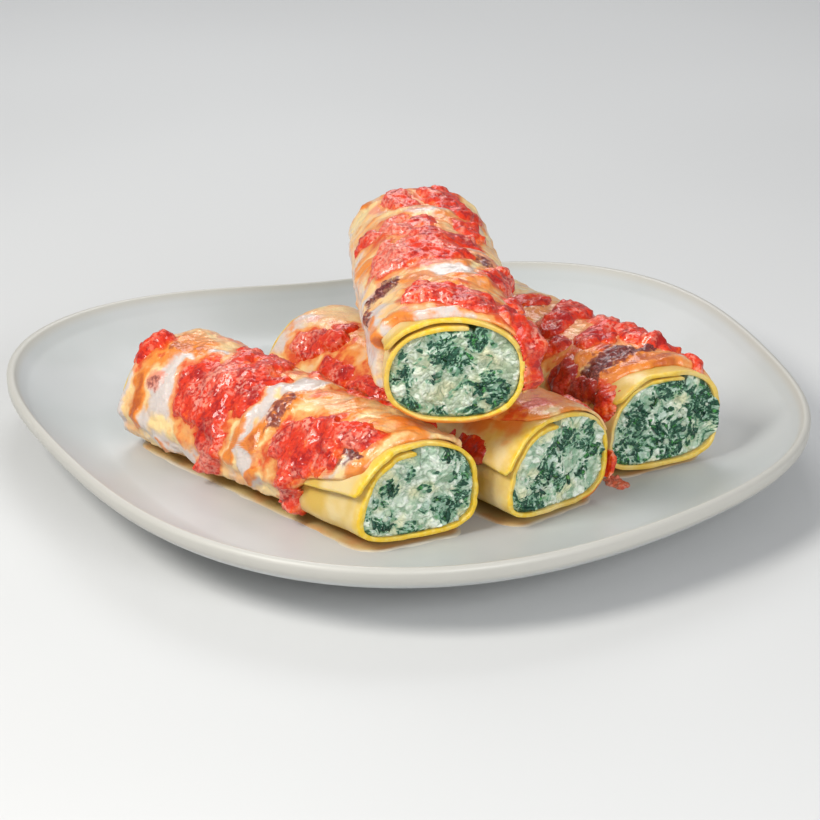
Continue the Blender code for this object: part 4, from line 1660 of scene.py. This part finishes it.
@dataclass
class TomatoHeaps:
    """All tomato sauce on one roll: wet heaps of pulp lying on the coat."""

    roll: Roll
    lowest_angle: float = -32.0
    highest_angle: float = 231.0
    past_ends: float = 1.5  # of the roll, where a heap may still hang over
    lump: float = 4.4
    pulp: float = 1.7
    tatter: float = 5.4  # torn skins and pieces
    crease: float = 4.2  # folds of the tomato's skin
    reach: float = 1.16  # of a heap's foot, as a share of its stroke
    grid: float = 0.42

    def build(self) -> bpy.types.Object:
        """Build every heap as part of one closed shell that reaches down into the coat.

        Returns:
            The object.
        """
        roll, painter = self.roll, Painter(self.roll)
        arc = math.radians(self.highest_angle - self.lowest_angle) * roll.radius
        along = np.linspace(-self.past_ends, roll.length + self.past_ends, int(roll.length / self.grid))
        angle = np.linspace(self.highest_angle, self.lowest_angle, int(arc / self.grid))
        along, angle = np.meshgrid(along, angle, indexing="ij")
        spots = painter.wander(along, angle)
        heap, outside = painter.heap(spots)
        key = painter.key(along, angle)
        bent = key + 0.7 * sway(key, 2.8, (81, 91))
        lumps, tag = pebbles(bent, self.lump, roll.seed + 1)
        grains, _ = pebbles(bent, self.pulp, roll.seed + 2)
        outside = outside + 0.16 * rough_noise(key, 3.2, roll.seed + 7, 2)
        inside = ease(1.02, 0.70, outside)
        ragged = rough_noise(bent, self.tatter, roll.seed + 6, 4)
        folds = 1 - 1.7 * np.abs(rough_noise(bent * [1, 0.7, 1], self.crease, roll.seed + 5))
        rise = inside * (heap * (0.72 + 0.22 * ragged) + 0.50 * ragged + 0.38 * folds - 0.20)
        rise = rise + inside * (0.20 * ease(0, 0.5, grains) + 0.34 * ease(0, 0.7, lumps) * (0.2 + tag))
        rise = np.where(outside > 1, -1.2 * ease(1.0, 1.14, outside), rise)
        thick, marks = WhiteCoat(roll).thick(along, angle, spots)
        stand = roll.raised(along, angle)
        top = roll.surface(along, angle, 0.12 + thick + rise + stand)
        sunk = np.minimum(thick * 0.4, thick + rise - 0.1) - 0.25
        bottom = roll.surface(along, angle, sunk + stand)
        # The crest tint places the painted highlight on the folds; the gaps between lumps get painted shade.
        tints = {"hollow": ease(0.20, 0.0, lumps) * 0.6 + ease(0.2, 0.0, grains) * 0.4,
                 "thin": ease(1.3, 0.2, rise), "rose": marks["rose"], "deep": marks["deep"],
                 "chunk": tag + 0.3 * ragged, "crest": np.clip(folds * 0.6 + 0.5 * ragged, 0, 1)}
        return shell_mesh(f"tomato_heaps_{roll.name}", top, bottom, tints, outside < self.reach)


@dataclass
class Liquor:
    """Whey and oil that ran out along the feet of the rolls and lie on the glaze as one film."""

    lines: tuple[Roll, ...]
    spread: float = 0.9
    rest: float = 8.0
    depth: float = 0.30
    grid: float = 0.9
    margin: float = 30.0  # of the grid round the rolls
    corner: float = 7.0  # rounding of a roll's foot, seen from above
    foot_inset: tuple[float, float] = (1.4, 3.6)  # of the foot at the ends and at the sides
    hidden: float = 14.0  # how far under a roll the film ends
    creep: float = 13.0  # from one tongue of the film's border to the next
    film: float = 0.4  # between its upper and lower face

    def outside(self, x: np.ndarray, y: np.ndarray) -> np.ndarray:
        """Distance of places on the plate from the foot of the nearest roll, negative under it.

        Args:
            x: Places to the right.
            y: Places to the back.

        Returns:
            One number for each place.
        """
        nearest = np.full(x.shape, 99.0)
        for roll in self.lines:
            away = places(x - roll.rear[0], y - roll.rear[1])
            along, side = away @ roll.ahead[:2], away @ roll.aside[:2]
            share = np.clip((along - roll.length) / roll.end_ramp + 1, 0, 1)
            along = along - share * side * math.tan(math.radians(roll.end_turn))
            past_end = np.abs(along - roll.length / 2) - roll.length / 2 + self.foot_inset[0] + self.corner
            past_side = np.abs(side) - roll.width / 2 + self.foot_inset[1] + self.corner
            gap = np.hypot(np.maximum(past_end, 0), np.maximum(past_side, 0)) - self.corner
            nearest = np.minimum(nearest, gap + np.minimum(np.maximum(past_end, past_side), 0))
        return nearest

    def build(self) -> bpy.types.Object:
        """Build the film as a height over the plate, sinking into the glaze past its border.

        Returns:
            The object.
        """
        corners = np.array([place for roll in self.lines for place in (roll.rear, roll.front)])
        low, high = corners.min(0) - self.margin, corners.max(0) + self.margin
        x, y = np.meshgrid(*(np.arange(*limits, self.grid) for limits in zip(low, high)), indexing="ij")
        outside = self.outside(x, y)
        reach = self.spread * np.clip(1 + 1.6 * rough_noise(places(x, y, 0), self.creep, 20), -0.2, 3.2)
        inside = reach - outside
        rise = np.where(inside > 0, self.depth * np.sqrt(np.clip(inside / 0.9, 0, 1)), 0.5 * inside)
        top = places(x, y, self.rest + rise)
        near = (inside > -1.5) & (outside > -self.hidden)
        # Darker gold near the feet: deeper film, and painted reflection of the rolls.
        tints = {"deep": ease(1.2, -0.8, outside)}
        return shell_mesh("cooking_liquor", top, top - [0, 0, self.film], tints, near)


@dataclass
class FloorTomato:
    """A smear of tomato sauce on the plate between two rolls."""

    spot: tuple[float, float] = (63.0, -34.6)
    heading: float = -55.0
    reach: tuple[float, float] = (5.6, 3.2)
    rest: float = 8.05
    steps: int = 46
    seed: int = 77

    def build(self) -> bpy.types.Object:
        """Build the smear as a low closed mound.

        Returns:
            The object.
        """
        line = np.linspace(-1.25, 1.25, self.steps)
        v, u = np.meshgrid(line[::-1], line)
        key = places(u * self.reach[0], v * self.reach[1], self.seed)
        gap = np.hypot(u + 0.18 * soft_noise(key, 2.4, 3), v + 0.22 * soft_noise(key, 2.4, 4))
        lumps, tag = pebbles(key, 1.9, self.seed)
        inside = ease(1.02, 0.7, gap)
        lumpy = 0.6 * ease(0, 0.6, lumps) * (0.6 + 0.6 * tag)
        rise = inside * (0.35 + lumpy + 0.15 * rough_noise(key, 1.2, 5, 2))
        turn = math.radians(self.heading)
        x = self.spot[0] + key[..., 0] * math.cos(turn) - key[..., 1] * math.sin(turn)
        y = self.spot[1] + key[..., 0] * math.sin(turn) + key[..., 1] * math.cos(turn)
        # The smear lies between two rolls and takes some of that painted shade.
        tints = {"hollow": ease(0.2, 0.0, lumps), "thin": ease(1.2, 0.2, rise), "rose": 1.2 + 0 * rise,
                 "deep": 0.35 + 0 * rise, "chunk": tag, "crest": 0 * rise}
        return shell_mesh("tomato_bit_on_plate", places(x, y, self.rest + np.maximum(rise, 0.02)),
                          places(x, y, self.rest - 0.03), tints, gap < 1.0)


# ---------------------------------------------------------------- scattered bits

@dataclass
class Scatter:
    """A Geometry Nodes tree that sows small pieces over a surface and makes them real."""

    name: str
    density: float  # pieces in a square millimetre where the ground is most crowded
    smallest: float
    largest: float
    seed: int

    def tree(self) -> bpy.types.NodeTree:
        """Build the tree: sow points, put a turned and sized piece on each, realise, dress.

        Returns:
            The tree.
        """
        tree = bpy.data.node_groups.new(self.name, "GeometryNodeTree")
        for label, kind in (("Ground", "Geometry"), ("Piece", "Object"), ("Density", "Float"),
                            ("Smallest", "Float"), ("Largest", "Float"), ("Seed", "Int"),
                            ("Finish", "Material")):
            tree.interface.new_socket(label, in_out="INPUT", socket_type=f"NodeSocket{kind}")
        tree.interface.new_socket("Bits", in_out="OUTPUT", socket_type="NodeSocketGeometry")
        given = add_node(tree, "NodeGroupInput").outputs
        crowd = add_node(tree, "GeometryNodeInputNamedAttribute", {"Name": "crowd"}, data_type="FLOAT")
        density = add_node(tree, "ShaderNodeMath", {0: crowd.outputs[0], 1: given["Density"]},
                           operation="MULTIPLY")
        sown = add_node(tree, "GeometryNodeDistributePointsOnFaces",
                        {"Mesh": given["Ground"], "Seed": given["Seed"], "Density": density.outputs[0]})
        piece = add_node(tree, "GeometryNodeObjectInfo", {"Object": given["Piece"]})
        spin = add_node(tree, "FunctionNodeRandomValue",
                        {0: (-0.5, -0.5, 0.0), 1: (0.5, 0.5, 2 * math.pi), "Seed": given["Seed"]},
                        data_type="FLOAT_VECTOR")
        turned = add_node(tree, "FunctionNodeRotateRotation",
                          {"Rotation": sown.outputs["Rotation"], "Rotate By": spin.outputs[0]},
                          rotation_space="LOCAL")
        size = add_node(tree, "FunctionNodeRandomValue",
                        {2: given["Smallest"], 3: given["Largest"], "Seed": given["Seed"]}, data_type="FLOAT")
        set_out = add_node(tree, "GeometryNodeInstanceOnPoints",
                           {"Points": sown.outputs["Points"], "Instance": piece.outputs["Geometry"],
                            "Rotation": turned.outputs["Rotation"], "Scale": size.outputs[1]})
        real = add_node(tree, "GeometryNodeRealizeInstances", {"Geometry": set_out.outputs["Instances"]})
        dressed = add_node(tree, "GeometryNodeSetMaterial",
                           {"Geometry": real.outputs["Geometry"], "Material": given["Finish"]})
        add_node(tree, "NodeGroupOutput", {"Bits": dressed.outputs["Geometry"]})
        return tree

    def sow(self, ground: bpy.types.Object, piece: bpy.types.Object, finish: bpy.types.Material,
            name: str) -> bpy.types.Object:
        """Sow pieces over a ground and return them as one plain object.

        Args:
            ground: Open surface to sow on, which is used up.
            piece: The small piece, of unit size in millimetres.
            finish: Material of the pieces.
            name: Name of the result.

        Returns:
            The plain object.
        """
        tree = self.tree()
        sower = ground.modifiers.new("sower", "NODES")
        sower.node_group = tree
        values = {"Piece": piece, "Density": self.density / MM ** 2, "Smallest": self.smallest,
                  "Largest": self.largest, "Seed": self.seed, "Finish": finish}
        for item in tree.interface.items_tree:
            if item.in_out == "INPUT" and item.name in values:
                sower[item.identifier] = values[item.name]
        ground.name = name
        sown = settle(ground)
        sown.data.shade_smooth()
        return sown


def curd_piece() -> bpy.types.Object:
    """Make a small uneven lump of one millimetre, with 24 faces.

    Returns:
        The object.
    """
    shape = bmesh.new()
    bmesh.ops.create_cube(shape, size=1.0)
    bmesh.ops.subdivide_edges(shape, edges=shape.edges, cuts=1, use_grid_fill=True)
    rng = np.random.default_rng(4)
    for corner in shape.verts:
        corner.co = corner.co.normalized() * 0.5 * rng.uniform(0.68, 1.25) * MM
        corner.co.z *= 0.6
    mesh = bpy.data.meshes.new("curd")
    shape.to_mesh(mesh)
    shape.free()
    return bpy.data.objects.new("curd", mesh)


def leaf_piece() -> bpy.types.Object:
    """Make a crumpled shred of leaf about three millimetres long, as a thin closed strip.

    Returns:
        The object.
    """
    v, u = np.meshgrid(np.linspace(-1, 1, 3), np.linspace(-1, 1, 6), indexing="ij")
    y = 0.5 * v * (1 - 0.5 * u ** 2) + 0.25 * np.sin(2.2 * u)
    z = 0.30 * np.sin(2.6 * u + 0.8) + 0.22 * v ** 2 + 0.12 * v * u
    top = places(1.6 * u, y, z + 0.09)
    piece = shell_mesh("shred", top, top - [0, 0, 0.18])
    bpy.context.scene.collection.objects.unlink(piece)
    return piece


# ---------------------------------------------------------------- studio

@dataclass
class Studio:
    """Pale floor, soft lamps and the camera."""

    elevation: float = 22.0
    distance: float = 850.0
    aim: tuple[float, float, float] = (2.72, -12.56, 22.0)
    lens: float = 125.48
    lamps: tuple[tuple[str, tuple[float, float, float], float, float, str], ...] = (
        ("key", (-0.46, -0.36, 0.60), 0.32, 4.6, "#fffdf8"),
        ("fill", (0.38, -0.72, 0.38), 0.45, 3.5, "#fbfdff"),
        ("back", (-0.04, 0.55, 0.60), 0.45, 1.8, "#fbfdff"),
    )   # name, place in metres, width in metres, power and colour
    lit: tuple[float, float, float] = (0.0, 0.0, 0.03)  # what the lamps point at, in metres
    ambient: float = 0.36
    sky: str = "#f4f6fa"
    paper_half: float = 3.0  # metres

    def camera(self) -> None:
        """Place the camera where the dish is seen from."""
        lens = bpy.data.cameras.new("camera")
        lens.lens = self.lens
        lens.clip_start = 0.05
        lens.clip_end = 20
        view = put_in_scene("camera", lens)
        tilt = math.radians(self.elevation)
        back = Vector((0, -math.cos(tilt), math.sin(tilt))) * self.distance * MM
        view.location = Vector(self.aim) * MM + back
        view.rotation_euler = (math.radians(90) - tilt, 0, 0)
        bpy.context.scene.camera = view

    def floor(self) -> None:
        """Lay the pale paper just under the plate."""
        shape = bmesh.new()
        bmesh.ops.create_grid(shape, x_segments=2, y_segments=2, size=self.paper_half)
        mesh = bpy.data.meshes.new("paper")
        shape.to_mesh(mesh)
        shape.free()
        mesh.materials.append(StudioPaper().build())
        paper = put_in_scene("paper", mesh)
        paper.location.z = -0.0002

    def lights(self) -> None:
        """Hang the soft lamps and set the light all round."""
        for name, place, size, power, shade in self.lamps:
            lamp = bpy.data.lights.new(name, "AREA")
            lamp.shape = "DISK"
            lamp.size = size
            lamp.energy = power
            lamp.color = linear(shade)[:3]
            hung = put_in_scene(name, lamp)
            hung.location = place
            hung.rotation_euler = (Vector(self.lit) - Vector(place)).to_track_quat("-Z", "Y").to_euler()
        world = bpy.data.worlds.new("room")
        world.use_nodes = True
        sky = world.node_tree.nodes["Background"]
        sky.inputs["Color"].default_value = linear(self.sky)
        sky.inputs["Strength"].default_value = self.ambient
        bpy.context.scene.world = world

    def build(self) -> None:
        """Set up the whole studio."""
        self.camera()
        self.floor()
        self.lights()
        bpy.context.scene.view_settings.view_transform = "Standard"


# ---------------------------------------------------------------- the dish

@dataclass
class Dish:
    """The plate with its four rolls."""

    frame: dict
    lines: tuple[Roll, ...] = field(default_factory=rolls)
    on_floor: float = 20.0  # a roll that rests lower than this lies in the well

    def tomato_nodes(self, roll: Roll) -> tuple[str, ...]:
        """Packed lumps of tomato that lie on a roll."""
        return tuple(sorted(n for n in self.frame["nodes"] if n.startswith(f"tomato_{roll.name}_")))

    def build(self) -> None:
        """Build every piece, dress it and hand it over."""
        hand_over(Plate().build(), GlazedStoneware().build(), Slot.PLATE.value, "plate")
        pasta, filling, coat, pulp, curd_look, leaf_look, liquor = (kind().build() for kind in (
            EggPasta, RicottaSpinach, BakedWhiteSauce, TomatoPulp, RicottaCurd, SpinachLeaf, CookingLiquor))
        curd, shred = curd_piece(), leaf_piece()
        for roll in self.lines:
            hand_over(PastaSheet(roll).build(), pasta, Slot.PASTA.value, f"pasta_{roll.name}")
            stuffing = Filling(roll)
            hand_over(stuffing.build(), filling, Slot.FILLING.value, f"filling_{roll.name}")
            sow_curds = Scatter("sow_curds", density=0.014 * (1 - roll.dull), smallest=1.0, largest=2.2,
                                seed=roll.seed)
            curds = sow_curds.sow(stuffing.sowing_ground(False), curd, curd_look, f"loose_curds_{roll.name}")
            hand_over(curds, None, Slot.FILLING.value)
            sow_leaves = Scatter("sow_leaves", density=0.07, smallest=0.6, largest=1.3, seed=roll.seed + 3)
            leaves = sow_leaves.sow(stuffing.sowing_ground(True), shred, leaf_look,
                                    f"spinach_shreds_{roll.name}")
            hand_over(leaves, None, Slot.FILLING.value)
            hand_over(WhiteCoat(roll).build(), coat, Slot.WHITE.value, f"sauce_{roll.name}")
            hand_over(TomatoHeaps(roll).build(), pulp, Slot.TOMATO.value, *self.tomato_nodes(roll))
        low = tuple(roll for roll in self.lines if roll.rest < self.on_floor)
        hand_over(Liquor(low).build(), liquor, Slot.WHITE.value)
        hand_over(FloorTomato().build(), pulp, Slot.TOMATO.value, "tomato_floor")
        for spare in (curd, shred):
            bpy.data.objects.remove(spare)


def main() -> None:
    """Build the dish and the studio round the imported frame."""
    logging.basicConfig(level=logging.INFO, format="%(name)s %(message)s")
    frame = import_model()
    Studio().build()
    Dish(frame).build()


if __name__ == "__main__":
    main()
